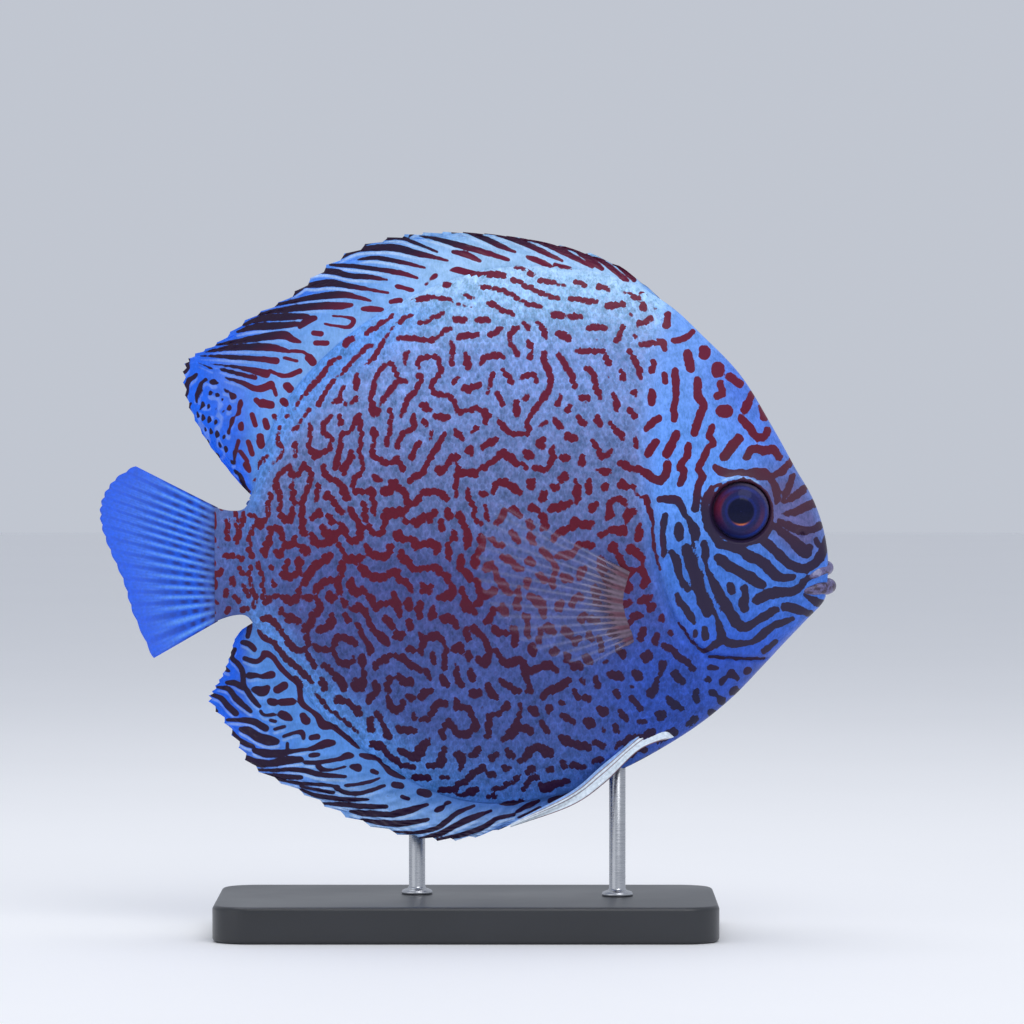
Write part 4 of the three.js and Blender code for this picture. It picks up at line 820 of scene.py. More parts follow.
def lie_maps(x, z):
    """Direction, hold, width and sparseness of the markings, blended from MARK_LIE by nearness."""
    total, sums = 0.0, [0.0] * 4
    for px, py, degrees, hold, width, sparse in MARK_LIE:
        ax, az = photo_point(px, py)
        weight = 1.0 / ((x - ax) ** 2 + (z - az) ** 2 + 4.0) ** 1.6
        double = 2 * np.radians(degrees)
        total = total + weight
        for k, value in enumerate((hold * np.cos(double), hold * np.sin(double), width, sparse)):
            sums[k] = sums[k] + weight * value
    along, across, width, sparse = (value / total for value in sums)
    hold = np.clip(np.hypot(along, across), 0, 1) ** 1.6
    return 0.5 * np.arctan2(across, along), hold, width, sparse


def marking_field(seed, jitter, flank):
    """Maze of markings on a grid over the side view.

    Seeded noise goes a few times through a ring-shaped band pass, plain where the markings have no lie and
    one of several direction passes where they have one, and each time through tanh. Listed strokes
    take its place on the head and the fins, and on the flank where flank holds them, and guide it elsewhere.
    """
    x_axis = np.arange(*FIELD_X, FIELD_STEP)
    z_axis = np.arange(*FIELD_Z, FIELD_STEP)
    x, z = np.meshgrid(x_axis, z_axis, indexing="ij")
    angle, hold, width, sparse = lie_maps(x, z)
    rng = np.random.default_rng(seed)
    head = stroke_depth(x_axis, z_axis, FACE_STROKES + GILL_STROKES + NAPE_STROKES, jitter, rng)
    guide = stroke_depth(x_axis, z_axis, NAPE_STROKES + EDGE_STROKES, jitter, rng)
    traced = stroke_depth(x_axis, z_axis, FIN_STROKES + KEEL_STROKES + flank, jitter, rng)
    pale = stroke_depth(x_axis, z_axis, PALE_STROKES, 0.0, rng)
    gap, side = line_distance(x, z, lifted(HEAD_EDGE))
    by_hand = smooth(-2.6, -1.2, gap * side)
    guided = np.exp(-(np.maximum(-guide, 0) / 0.8) ** 2)
    filled = np.exp(-(np.maximum(-traced, 0) / 1.5) ** 2)

    wave_x = np.fft.fftfreq(len(x_axis), FIELD_STEP)[:, None]
    wave_z = np.fft.rfftfreq(len(z_axis), FIELD_STEP)[None, :]
    frequency, heading = np.hypot(wave_x, wave_z), np.arctan2(wave_z, wave_x)
    turns = np.pi * np.arange(DIRECTIONS) / DIRECTIONS
    spacing = bpy.context.scene.discus_sizes.mark_spacing / MM
    banks = []
    for factor in (1.0, FIN_MARK_WIDTH):
        centre = 1.0 / (spacing * factor)
        ring = np.exp(-((frequency - centre) / (FIELD_BAND * centre)) ** 2)
        passes = [ring * np.exp(FIELD_TIGHTNESS * (np.cos(2 * (heading - turn - np.pi / 2)) - 1))
                  for turn in turns]
        banks.append((ring, passes))
    narrow = np.clip((1.0 - width) / (1.0 - FIN_MARK_WIDTH), 0, 1)
    shares = [np.cos(angle - turn) ** 16 for turn in turns]
    total = sum(shares)
    field = rng.standard_normal(x.shape)
    for _ in range(FIELD_ROUNDS):
        spectrum = np.fft.rfft2(field)
        level = 0.0
        for part, (ring, passes) in zip((1 - narrow, narrow), banks):
            free = np.fft.irfft2(spectrum * ring, s=x.shape)
            held = 0.0
            for share, band in zip(shares, passes):
                sweep = np.fft.irfft2(spectrum * band, s=x.shape)
                held = held + share / total * sweep / sweep.std()
            level = level + part * ((1 - hold) * free / free.std() + hold * held)
        level = level - SPARSE_PULL * sparse
        for depth, share in ((guide, guided), (traced, filled), (head, by_hand)):
            level = mix(level, np.clip(STROKE_SLOPE * depth, -LEVEL_LIMIT, LEVEL_LIMIT), share)
        field = np.tanh(FIELD_GAIN * level)
    return np.clip(np.where(pale > -0.3, np.minimum(level, -4.0 * pale), level), -LEVEL_LIMIT, LEVEL_LIMIT)


FIELDS = {}


def marks_at(x, z, hand):
    """The marking field of the right or left side, read between its grid points."""
    if hand not in FIELDS:
        FIELDS[hand] = marking_field(*FIELD_SIDES[hand])
    grid = FIELDS[hand]
    i = np.clip((x - FIELD_X[0]) / FIELD_STEP, 0, grid.shape[0] - 1.001)
    j = np.clip((z - FIELD_Z[0]) / FIELD_STEP, 0, grid.shape[1] - 1.001)
    i0, j0 = i.astype(int), j.astype(int)
    fi, fj = i - i0, j - j0
    return ((1 - fi) * (1 - fj) * grid[i0, j0] + fi * (1 - fj) * grid[i0 + 1, j0]
            + (1 - fi) * fj * grid[i0, j0 + 1] + fi * fj * grid[i0 + 1, j0 + 1])


def tint(name):
    """A colour of the panel's colour settings, in linear light."""
    return np.array(getattr(bpy.context.scene.discus_colours, name), float)


def opaque(colour):
    """A colour with its alpha of 1, as a node's socket takes it."""
    return (*colour, 1.0)


def blend(colours, target, weight):
    """Moves an array of colours towards one colour, or one of the panel's by its name, by a weight at each point."""
    if isinstance(target, str):
        target = tint(target)
    return colours + (target - colours) * weight[..., None]


def near(x, z, *spots):
    """Sum of soft round spots, held at 1: each falls from its strength as a bell over its radius."""
    total = 0.0
    for px, py, radius, strength in spots:
        ax, az = photo_point(px, py)
        total = total + strength * np.exp(-((x - ax) ** 2 + (z - az) ** 2) / radius ** 2)
    return np.clip(total, 0, 1)


def ahead_of_gills(x, z):
    """Distance ahead of the head's rear edge, negative behind it."""
    gap, side = line_distance(x, z, lifted(HEAD_EDGE))
    return gap * side


def by_height(z, stops):
    """Colour at each height, eased from one named stop to the next; a stop is a share of the fish's height."""
    height = (z - LIFT) / FISH_HEIGHT
    colours = np.broadcast_to(tint(stops[0][1]), (*np.shape(z), 3))
    for (low, _), (high, name) in zip(stops[:-1], stops[1:]):
        colours = blend(colours, name, smooth(low, high, height))
    return colours


def ground_colour(x, z):
    """Colour between the markings: pale blue back, lilac grey flank, deep blue breast, cyan head and margins. The pale
    back and the dark lower flank and breast are partly painted light and shade, and a painted highlight runs along the
    top of the eye's rim.
    """
    colours = by_height(z, GROUND_STOPS)
    station, share = body_station(x, z)
    _, chord = chord_at(station)
    inset = np.minimum(share, 1 - share) * np.hypot(chord[..., 0], chord[..., 1])
    rear = mix(smooth(10.0, 13.5, station), smooth(11.0, 13.0, station), smooth(0.4, 0.6, share))
    colours = blend(colours, "margin", 0.85 * rear * smooth(15.0, 3.0, inset) * smooth(19.0, 17.0, station))
    colours = blend(colours, "stalk", near(x, z, STALK_SPOT))
    colours = blend(colours, "breast", near(x, z, BREAST_SPOT))
    head = smooth(-4.0, 3.0, ahead_of_gills(x, z))
    colours = blend(colours, by_height(z, HEAD_STOPS), head)
    colours = blend(colours, "brow", near(x, z, *BROW_SPOTS))
    colours = blend(colours, "haze", np.minimum(near(x, z, *HAZE_SPOTS), 0.85))
    # Painted highlight along the top of the eye's rim
    lid, _ = line_distance(x, z, LID_HIGHLIGHT_LINE)
    return blend(colours, "crest", 0.8 * np.exp(-(lid / 0.22) ** 2))


def ink_colour(x, z):
    """Colour of the markings: maroon on the flank, darker below, partly as painted shade, and behind, near black on the
    face.
    """
    colours = by_height(z, INK_STOPS)
    colours = blend(colours, "ink_breast", near(x, z, INK_BREAST_SPOT))
    head = smooth(-2.0, 3.0, ahead_of_gills(x, z)) * smooth(105.0, 92.0, z)
    colours = blend(colours, "ink_face", head)
    return blend(colours, "ink_brow", near(x, z, *INK_BROW_SPOTS))


def inside_out(points, faces):
    """True where the faces wind so that the space they enclose, summed from the middle, is negative."""
    a, b, c = (points[faces[:, k]] - points.mean(0) for k in (0, 1, 2))
    return np.einsum("ij,ij->i", a, np.cross(b, c)).sum() < 0


def shell(front, back):
    """Closed skin between two like grids of points, joined round their edges by strips."""
    rows, columns = front.shape[:2]
    count = rows * columns
    ids = np.arange(count).reshape(rows, columns)

    def strip(a, b):
        """Faces between two like rows of points."""
        return np.stack([a[:-1], a[1:], b[1:], b[:-1]], -1)

    face = np.stack([ids[:-1, :-1], ids[1:, :-1], ids[1:, 1:], ids[:-1, 1:]], -1).reshape(-1, 4)
    faces = np.concatenate([
        face, face[:, ::-1] + count,
        strip(ids[:, 0] + count, ids[:, 0]), strip(ids[:, -1], ids[:, -1] + count),
        strip(ids[0], ids[0] + count), strip(ids[-1] + count, ids[-1]),
    ])
    points = np.concatenate([front.reshape(-1, 3), back.reshape(-1, 3)])
    return points, [faces[:, ::-1] if inside_out(points, faces) else faces]


def two_sided(x, y, z, half):
    """Closed skin set out to either side of a middle surface, along y, by half its thickness."""
    return shell(np.stack([x, y - half, z], -1), np.stack([x, y + half, z], -1))


def tube(rings):
    """Closed skin round a row of rings of points, with a fan over each end."""
    count, sides = rings.shape[:2]
    ids = np.arange(count * sides).reshape(count, sides)
    turned = np.roll(ids, -1, axis=1)
    walls = np.stack([ids[:-1], turned[:-1], turned[1:], ids[1:]], -1).reshape(-1, 4)
    points = np.concatenate([rings.reshape(-1, 3), rings[:1].mean(1), rings[-1:].mean(1)])
    hub = np.full(sides, count * sides)
    caps = np.concatenate([
        np.stack([hub, turned[0], ids[0]], -1), np.stack([hub + 1, ids[-1], turned[-1]], -1)])
    if inside_out(points, walls):
        walls, caps = walls[:, ::-1], caps[:, ::-1]
    return points, [walls, caps]


def join_sides(front, back=None):
    """Values at a shell's points: the front grid's, then the back's, which are the same where not given."""
    parts = (front, front if back is None else back)
    return np.concatenate([np.asarray(part).reshape(-1, *np.shape(part)[2:]) for part in parts])


def add_piece(name, points, faces, material, slot, replaces=(), floats=None, colours=None, uv=None):
    """Puts points in millimetres and lists of faces into a mesh that rides on the model's one body.

    The mesh also carries named numbers and colours at its points, which its material reads.
    """
    mesh = bpy.data.meshes.new(name)
    mesh.from_pydata((points * MM).tolist(), [], sum((part.tolist() for part in faces), []))
    mesh.update()
    mesh.polygons.foreach_set("use_smooth", np.ones(len(mesh.polygons), bool))
    for key, values in (floats or {}).items():
        layer = mesh.attributes.new(key, "FLOAT", "POINT")
        layer.data.foreach_set("value", np.ascontiguousarray(values, np.float32).ravel())
    for key, values in (colours or {}).items():
        layer = mesh.attributes.new(key, "FLOAT_COLOR", "POINT")
        rgba = np.concatenate([values, np.ones((len(values), 1))], 1).astype(np.float32)
        layer.data.foreach_set("color", rgba.ravel())
    if uv is not None:
        layer = mesh.uv_layers.new(name="OFBake")
        corner = np.empty(len(mesh.loops), np.int32)
        mesh.loops.foreach_get("vertex_index", corner)
        layer.data.foreach_set("uv", uv[corner].astype(np.float32).ravel())
    mesh.materials.append(material)
    piece = bpy.data.objects.new(name, mesh)
    bpy.context.scene.collection.objects.link(piece)
    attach(piece, "root")
    if replaces:
        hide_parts(*replaces)


class Nodes:
    """A material's node tree, with short calls that add and join nodes."""

    def __init__(self, tree):
        self.tree = tree

    def add(self, kind, **settings):
        """A new node, with its properties set and its inputs joined to sockets or given values."""
        node = self.tree.nodes.new(kind)
        inputs = settings.pop("inputs", {})
        for key, value in settings.items():
            setattr(node, key, value)
        for key, value in inputs.items():
            if isinstance(value, bpy.types.NodeSocket):
                self.tree.links.new(value, node.inputs[key])
            else:
                node.inputs[key].default_value = value
        return node

    def place(self):
        """Where a point lies on the piece, in metres."""
        return self.add("ShaderNodeTexCoord").outputs["Object"]

    def attribute(self, name, output="Fac"):
        """A number or colour that the mesh carries."""
        return self.add("ShaderNodeAttribute", attribute_name=name).outputs[output]

    def math(self, operation, a, b=0.0, c=0.0, clamp=False):
        """One sum on up to three values."""
        return self.add(
            "ShaderNodeMath", operation=operation, use_clamp=clamp, inputs={0: a, 1: b, 2: c}).outputs[0]

    def noise(self, vector, scale, detail=2.0, roughness=0.5):
        """Soft noise from 0 to 1, about 0.5."""
        node = self.add("ShaderNodeTexNoise", inputs={
            "Vector": vector, "Scale": scale, "Detail": detail, "Roughness": roughness})
        return node.outputs["Fac"]

    def colours(self, factor, a, b, blend_type="MIX"):
        """Colour a where the factor is 0 and b where it is 1."""
        return self.add(
            "ShaderNodeMix", data_type="RGBA", blend_type=blend_type, inputs={0: factor, 6: a, 7: b}).outputs[2]

    def shaded(self, colour, red, rest):
        """Colour times a tone, with the red part's tone given on its own."""
        tone = self.add("ShaderNodeCombineColor", inputs={0: red, 1: rest, 2: rest}).outputs[0]
        return self.colours(1.0, colour, tone, "MULTIPLY")

    def range(self, value, low, high, out_low=0.0, out_high=1.0, smoothly=False):
        """Takes low to out_low and high to out_high, straight or as an S curve, and holds both ends."""
        return self.add(
            "ShaderNodeMapRange", interpolation_type="SMOOTHSTEP" if smoothly else "LINEAR",
            inputs={0: value, 1: low, 2: high, 3: out_low, 4: out_high}).outputs[0]

    def link(self, output, node, name):
        """Joins an output to a node's input by its name."""
        self.tree.links.new(output, node.inputs[name])

    def relief(self, shader, height, strength, distance):
        """Small relief from a height, which the shader sees as a bumped normal."""
        bump = self.add("ShaderNodeBump", inputs={"Strength": strength, "Distance": distance, "Height": height})
        self.link(bump.outputs[0], shader, "Normal")


def new_material(name, **constants):
    """A material whose Principled shader has these constants set on its own sockets."""
    material = bpy.data.materials.new(name)
    material.use_nodes = True
    nodes = Nodes(material.node_tree)
    shader = material.node_tree.nodes["Principled BSDF"]
    for key, value in constants.items():
        shader.inputs[key.replace("_", " ")].default_value = value
    return material, nodes, shader


def material_named(name, make, *values):
    """The material of this name, which is made at its first use."""
    return bpy.data.materials.get(name) or make(name, *values)


def new_group(name, sockets_in, sockets_out):
    """A shader node group with named inputs and outputs; each input is its kind and its default."""
    group = bpy.data.node_groups.new(name, "ShaderNodeTree")
    for key, (kind, default) in sockets_in.items():
        socket = group.interface.new_socket(key, in_out="INPUT", socket_type=kind)
        if default is not None:
            socket.default_value = default
    for key, kind in sockets_out.items():
        group.interface.new_socket(key, in_out="OUTPUT", socket_type=kind)
    nodes = Nodes(group)
    return group, nodes, nodes.add("NodeGroupInput"), nodes.add("NodeGroupOutput")


FLOAT, COLOUR, VECTOR = "NodeSocketFloat", "NodeSocketColor", "NodeSocketVector"


def painted_skin_group():
    """Markings over a grained ground: a threshold on Marks, frayed by noise, picks Ink or Ground. Where Rim is high,
    noise adds painted glints to the ground.
    """
    group = bpy.data.node_groups.get("painted_skin")
    if group:
        return group
    group, nodes, source, sink = new_group(
        "painted_skin",
        {"Position": (VECTOR, None), "Marks": (FLOAT, 0.0), "Ground": (COLOUR, None), "Ink": (COLOUR, None),
         "Softness": (FLOAT, 0.25), "Grain": (FLOAT, 0.3), "Fray": (FLOAT, 0.25), "Rim": (FLOAT, 0.0)},
        {"Color": COLOUR, "Roughness": FLOAT, "Height": FLOAT})
    at = source.outputs["Position"]
    combed = nodes.add("ShaderNodeMapping", inputs={"Vector": at, "Scale": (1.0, 1.0, 0.45)}).outputs[0]
    fine, coarse = nodes.noise(combed, 2300.0, 2.0, 0.65), nodes.noise(at, 640.0, 2.0, 0.5)
    patchy = nodes.noise(at, 90.0, 2.0)
    ragged = nodes.math("SUBTRACT", coarse, 0.5)
    frayed = nodes.math("MULTIPLY_ADD", ragged, source.outputs["Fray"], source.outputs["Marks"])
    low, high = (nodes.math("MULTIPLY", source.outputs["Softness"], half) for half in (-0.5, 0.5))
    mask = nodes.range(nodes.math("SUBTRACT", frayed, 0.1), low, high, smoothly=True)
    speckle = nodes.math("MULTIPLY", nodes.math("SUBTRACT", fine, 0.5), source.outputs["Grain"])
    flake = nodes.math("MULTIPLY", ragged, source.outputs["Grain"])
    lift = nodes.math("ADD", nodes.math("ADD", speckle, flake), 1.0)
    lift = nodes.math("ADD", lift, nodes.range(patchy, 0.3, 0.7, -0.07, 0.07))
    # Painted highlight: glints of noise on the rims of scales, where Rim is high
    painted_glint = nodes.range(nodes.noise(at, 420.0, 2.0), 0.4, 0.62, 0.02, 0.2)
    rim = nodes.range(source.outputs["Rim"], 0.76, 1.06, smoothly=True)
    lift = nodes.math("ADD", lift, nodes.math("MULTIPLY", rim, painted_glint))
    ground = nodes.shaded(source.outputs["Ground"], nodes.math("POWER", lift, 1.3), lift)
    nodes.link(nodes.colours(mask, ground, source.outputs["Ink"]), sink, "Color")
    nodes.link(nodes.range(mask, 0.0, 1.0, 0.34, 0.46), sink, "Roughness")
    nodes.link(nodes.math("MULTIPLY_ADD", fine, 0.6, nodes.math("MULTIPLY", coarse, 0.4)), sink, "Height")
    return group


def skin_material(name, bump, grain, softness, fray, rimmed=False):
    """Moist painted skin: the shared markings, a fine raised grain, painted highlights on the scales' rims and a clear
    wet coat.
    """
    material, nodes, shader = new_material(name, Coat_Weight=0.08, Coat_Roughness=0.15, Specular_IOR_Level=0.22)
    painted = nodes.add("ShaderNodeGroup", node_tree=painted_skin_group(), inputs={
        "Position": nodes.place(), "Marks": nodes.attribute("marks"), "Ground": nodes.attribute("ground", "Color"),
        "Ink": nodes.attribute("ink", "Color"), "Softness": softness, "Grain": grain, "Fray": fray})
    if rimmed:
        nodes.link(nodes.attribute("rim"), painted, "Rim")
    nodes.link(painted.outputs["Color"], shader, "Base Color")
    nodes.link(painted.outputs["Roughness"], shader, "Roughness")
    nodes.relief(shader, painted.outputs["Height"], bump, 0.0003)
    return material


def fin_material(name, membrane_alpha):
    """Thin rayed skin: the shared markings, clearer towards the fin's edge, with raised rays."""
    material = skin_material(name, *FIN_SKIN)
    nodes = Nodes(material.node_tree)
    clear = nodes.range(nodes.attribute("reach"), 0.3, 1.0, 1.0, membrane_alpha)
    solid = nodes.math("MAXIMUM", clear, nodes.range(nodes.attribute("ray"), 0.0, 1.0, 0.0, 0.95))
    nodes.link(solid, material.node_tree.nodes["Principled BSDF"], "Alpha")
    return material


def clear_fin_material(name, membrane, ray, roughness):
    """See-through fin: its alpha runs from the membrane's to the rays', with colour from its attribute."""
    material, nodes, shader = new_material(name, Roughness=roughness, Coat_Weight=0.08, Specular_IOR_Level=0.25)
    grain = nodes.range(nodes.noise(nodes.place(), 1500.0), 0.3, 0.7, 0.85, 1.15)
    nodes.link(nodes.shaded(nodes.attribute("ground", "Color"), grain, grain), shader, "Base Color")
    body = nodes.range(nodes.attribute("ray"), 0.0, 1.0, membrane, ray)
    nodes.link(nodes.math("MULTIPLY", body, nodes.attribute("solid"), clamp=True), shader, "Alpha")
    nodes.relief(shader, grain, 0.2, 0.0002)
    return material


def crest_share(station, share):
    """1 along the pale band where the front of the back meets its fin, and 0 elsewhere."""
    return smooth(0.955, 1.0, share) * smooth(7.5, 9.0, station) * smooth(13.5, 11.5, station)


def build_skin(name, length, replaces):
    """One closed length of the body's skin.

    Stations run from the snout to the stalk's end and v from belly to back; the point on the chord at v is
    set out to either side by half the thickness, with the folds added. Up to station tuck the skin lies a
    little lower, under the piece ahead of it.
    """
    first, last, count, rows, tuck = length
    stations, even = np.linspace(first, last, count), np.linspace(0, 1, rows)
    share = 0.55 * even + 0.45 * (1 - np.cos(np.pi * even)) / 2
    belly, chord = chord_at(stations[:, None])
    flat = belly + chord * share[None, :, None]
    x, z = flat[..., 0], flat[..., 1]
    fade = smooth(0.0, 0.06, share) * smooth(1.0, 0.94, share)
    half = body_half(stations[:, None], share[None]) + skin_relief(x, z) * fade[None]
    half = np.maximum(half - 0.12 * smooth(tuck, tuck - 0.2, stations)[:, None], 0.12)
    floats = {"marks": join_sides(marks_at(x, z, "right"), marks_at(x, z, "left"))}
    ground = blend(ground_colour(x, z), "crest", crest_share(stations[:, None], share[None]))
    add_piece(name, *two_sided(x, bend(x), z, half), material_named("wet_skin", skin_material, *WET_SKIN),
              "skin", replaces, floats, {"ground": join_sides(ground), "ink": join_sides(ink_colour(x, z))})


def build_scales(hand, side):
    """Overlapping scales of one flank.

    Roots stand in rows with every other row set back by half a pitch, and each scale points to SCALE_AIM.
    A scale is a grid over a (across) and b (root to free edge) with a round free edge, lifted off the skin
    as b grows. Its markings lean to what they are at its own middle, so that its edge frays them. Each scale
    has a random tone, with painted shade in its middle and a painted highlight towards its rim.
    """
    sizes = bpy.context.scene.discus_sizes
    pitch, rise = sizes.scale_pitch / MM, sizes.scale_lift / MM
    rng = np.random.default_rng(SCALE_SEEDS[hand])
    xs, zs = np.arange(-58, 52, pitch), np.arange(LIFT + 5, LIFT + 130, 0.86 * pitch)
    x, z = np.meshgrid(xs, zs, indexing="ij")
    x = x + (np.arange(len(zs)) % 2)[None] * pitch / 2 + rng.uniform(-0.12, 0.12, x.shape) * pitch
    z = z + rng.uniform(-0.1, 0.1, z.shape) * pitch
    x, z = x.ravel(), z.ravel()
    station, share = body_station(x, z)
    belly, chord = chord_at(station)
    length = np.hypot(*chord.T)
    miss = np.abs((x - belly[:, 0]) * chord[:, 1] - (z - belly[:, 1]) * chord[:, 0]) / length
    inset = np.minimum(share, 1 - share) * length
    keep = (miss < 0.3) & (inset > 1.3) & (ahead_of_gills(x, z) < -1.5) & (x > -53.5)
    x, z, station, share = x[keep], z[keep], station[keep], share[keep]

    count, corners = len(x), SCALE_CELLS + 1
    x, z, station, share = (values[:, None, None] for values in (x, z, station, share))
    heading = np.arctan2(LIFT + SCALE_AIM[1] - z, SCALE_AIM[0] - x) + 0.06 * rng.standard_normal(z.shape)
    a, b = np.meshgrid(np.linspace(-1, 1, corners), np.linspace(0, 1, corners), indexing="ij")
    width = np.sqrt(np.clip(1 - ((b - 0.35) / 0.66) ** 2, 0.03, 1))
    size = pitch * (1 + 0.06 * rng.standard_normal(x.shape)) * mix(0.72, 1.0, smooth(-52, -25, x))
    along, across = (b - 0.3) * 1.55 * size, a * width * 0.66 * size
    px = x + along * np.cos(heading) - across * np.sin(heading)
    pz = z + along * np.sin(heading) + across * np.cos(heading)
    lift = (0.01 + rise * (b - 0.4 * a ** 2 * b)) * (size / pitch)
    py = bend(px) + side * (skin_half(px, pz) + lift)
    points = np.stack([px, py, pz], -1).reshape(-1, 3)

    ids = np.arange(count * corners ** 2).reshape(count, corners, corners)
    faces = np.stack([ids[:, :-1, :-1], ids[:, 1:, :-1], ids[:, 1:, 1:], ids[:, :-1, 1:]], -1).reshape(-1, 4)
    p0, p1, p2 = (points[faces[:, k]] for k in (0, 1, 2))
    if np.cross(p1 - p0, p2 - p0)[:, 1].sum() * side < 0:
        faces = faces[:, ::-1]
    middle = marks_at(x + 0.55 * size * np.cos(heading), z + 0.55 * size * np.sin(heading), hand)
    from_middle = np.sqrt(a ** 2 + ((b - 0.66) / 0.34) ** 2)
    marks = 0.65 * marks_at(px, pz, hand) + 0.35 * middle - 0.2 * (from_middle ** 2 - 0.6)
    marks = marks + LOW_COVER[hand] * smooth(104.0, 84.0, pz)
    # Painted shading: each scale darker and more lilac in its middle and lighter and bluer at its rim, times a random
    # tone of its own
    rim = smooth(0.5, 1.2, from_middle)
    highlight_and_tone = (1 + 0.06 * rng.standard_normal(x.shape)) * mix(0.86, 1.04, rim)
    ground = ground_colour(px, pz) * np.clip(highlight_and_tone, 0.7, 1.4)[..., None]
    ground[..., 0] *= 1.08 - 0.14 * rim
    ground = blend(ground, "crest", crest_share(station, share) + 0 * px)
    u, v = 0.01 + 0.97 * station / LAST + 0.0015 * a, 0.01 + 0.97 * share + 0.0015 * (2 * b - 1)
    add_piece(
        f"flank_scales_{hand}", points, [faces],
        material_named("scaled_skin", skin_material, *SCALED_SKIN, True), "skin",
        floats={"marks": marks, "rim": from_middle + 0 * px}, uv=np.stack([u, v], -1).reshape(-1, 2),
        colours={"ground": ground.reshape(-1, 3), "ink": ink_colour(px, pz).reshape(-1, 3)})


def ray_profile(u, rays):
    """0 to 1 across each ray, highest on its middle: a cosine over the ray's share of the fin."""
    return 0.5 + 0.5 * np.cos(2 * np.pi * (u * rays - 0.5))


def fan_grid(rays, cells, rows):
    """u over a fin's rays and w from root to tip, each from 0 to 1."""
    return np.meshgrid(np.linspace(0, 1, rays * cells + 1), np.linspace(0, 1, rows), indexing="ij")


def fin_edge(edge, station):
    """Fin edge at a station of the body, by the spline through its tips."""
    at = np.interp(station, [row[0] for row in edge], np.arange(len(edge)))
    return spline(lifted([row[1:] for row in edge]), at)


def full_tint(name, like):
    """One colour at every point of a grid."""
    return np.broadcast_to(tint(name), (*like.shape, 3))


def build_median_fin(name, node, edge, table, step, rays, notches):
    """Dorsal or anal fin.

    u runs along the body's edge and w from root to tip. A point is the root moved towards the tip by w,
    arched off the straight line as sin(pi w), with rays raised as a cosine and the edge cut in between them.
    """
    u, w = fan_grid(rays, RAY_CELLS, MEDIAN_ROWS)
    station = mix(edge[0][0], edge[-1][0], u)
    root = edge_at(table, station)
    ahead = edge_at(table, station + 0.05) - edge_at(table, station - 0.05)
    ahead /= np.hypot(ahead[..., 0], ahead[..., 1])[..., None]
    outward = np.stack([ahead[..., 1], -ahead[..., 0]], -1) * step
    saw = (u * rays - 0.5) % 1.0
    cut = np.where(saw < 0.5, saw * 2, (1 - saw) * 2) ** 0.8
    reach = 1 - np.interp(u, *zip(*notches)) * cut
    root = root - outward * 0.9
    across = fin_edge(edge, station) - root
    flat = root + across * (w * reach)[..., None]
    length = np.hypot(across[..., 0], across[..., 1])
    arch = 0.1 * length * np.sin(np.pi * w) * smooth(0, 0.12, 1 - u)
    flat = flat + outward * arch[..., None]
    x, z = flat[..., 0], flat[..., 1]
    middle = bend(x) + 0.7 * w * np.sin(2 * np.pi * 3.5 * u)
    middle = middle + 0.12 * w * np.sin(2 * np.pi * (9 * w + 5 * u))
    crest = ray_profile(u, rays) ** 2
    half = mix(1.0, 0.14 + 0.26 * crest * (1 - 0.6 * w), smooth(0.0, 0.3, w)) * mix(1.0, 0.35, smooth(0.92, 1.0, w))
    marks = marks_at(x, z, "right")
    ink = blend(ink_colour(x, z), "ink_fin", smooth(0.15, 0.55, w) * smooth(-0.1, 0.3, u))
    ground = blend(ground_colour(x, z), "fin", 0.9 * smooth(0.3, 0.85, w) * smooth(0.25, 0.6, u))
    if step > 0:
        ground = blend(ground, "crest", 0.8 * smooth(0.5, 0.3, u) * smooth(0.9, 0.1, w))
        # Painted light: the fin's root is lightened to match the top of the back beside it, which faces the lights
        ground = blend(ground, "crest", 0.4 * smooth(0.5, 0.05, w) * smooth(0.95, 0.6, u))
        ground = blend(ground, "fin", 0.8 * smooth(0.62, 0.85, u) * smooth(0.05, 0.4, w))
        rows_of_spots = np.cos(2 * np.pi * (length * w / 1.9 + 0.5 * np.floor(u * rays + 0.5)))
        spots = np.cos(2 * np.pi * u * rays) + rows_of_spots + 0.7 * np.sin(37 * u + 11 * w) - 0.9
        marks = mix(marks, np.clip(spots, -1.2, 1.2), near(x, z, REAR_LOBE_SPOT) * smooth(0.3, 0.6, w))
    else:
        front = smooth(0.6, 0.3, u) * smooth(0.02, 0.2, u)
        # Painted light: the front of the belly fin is lightened against the shade it gets as an underside
        ground = blend(ground, "crest", 0.4 * front * smooth(0.02, 0.4, w))
    # Painted highlight: pale streaks just below the dark stripes, strongest near the fin's front
    under = smooth(-0.1, 0.9, marks_at(x, z + 0.85, "right")) * smooth(0.2, -0.5, marks)
    ground = blend(ground, "highlight_and_tone", under * smooth(0.25, 0.5, w) * mix(0.75, 0.25, smooth(0.35, 0.75, u)))
    add_piece(name, *two_sided(x, middle, z, half),
              material_named("fin_skin", fin_material, bpy.context.scene.discus_sizes.fin_clearness), "fins", (node,),
              {"marks": join_sides(marks), "ray": join_sides(crest), "reach": join_sides(w)},
              {"ground": join_sides(ground), "ink": join_sides(ink)})


def add_clear_fin(name, grids, material, slot, node, ray, solid, ground):
    """A fin whose see-through material reads its rays, its solid share and its colour."""
    add_piece(name, *two_sided(*grids), material, slot, (node,),
              {"ray": join_sides(ray), "solid": join_sides(solid)}, {"ground": join_sides(ground)})


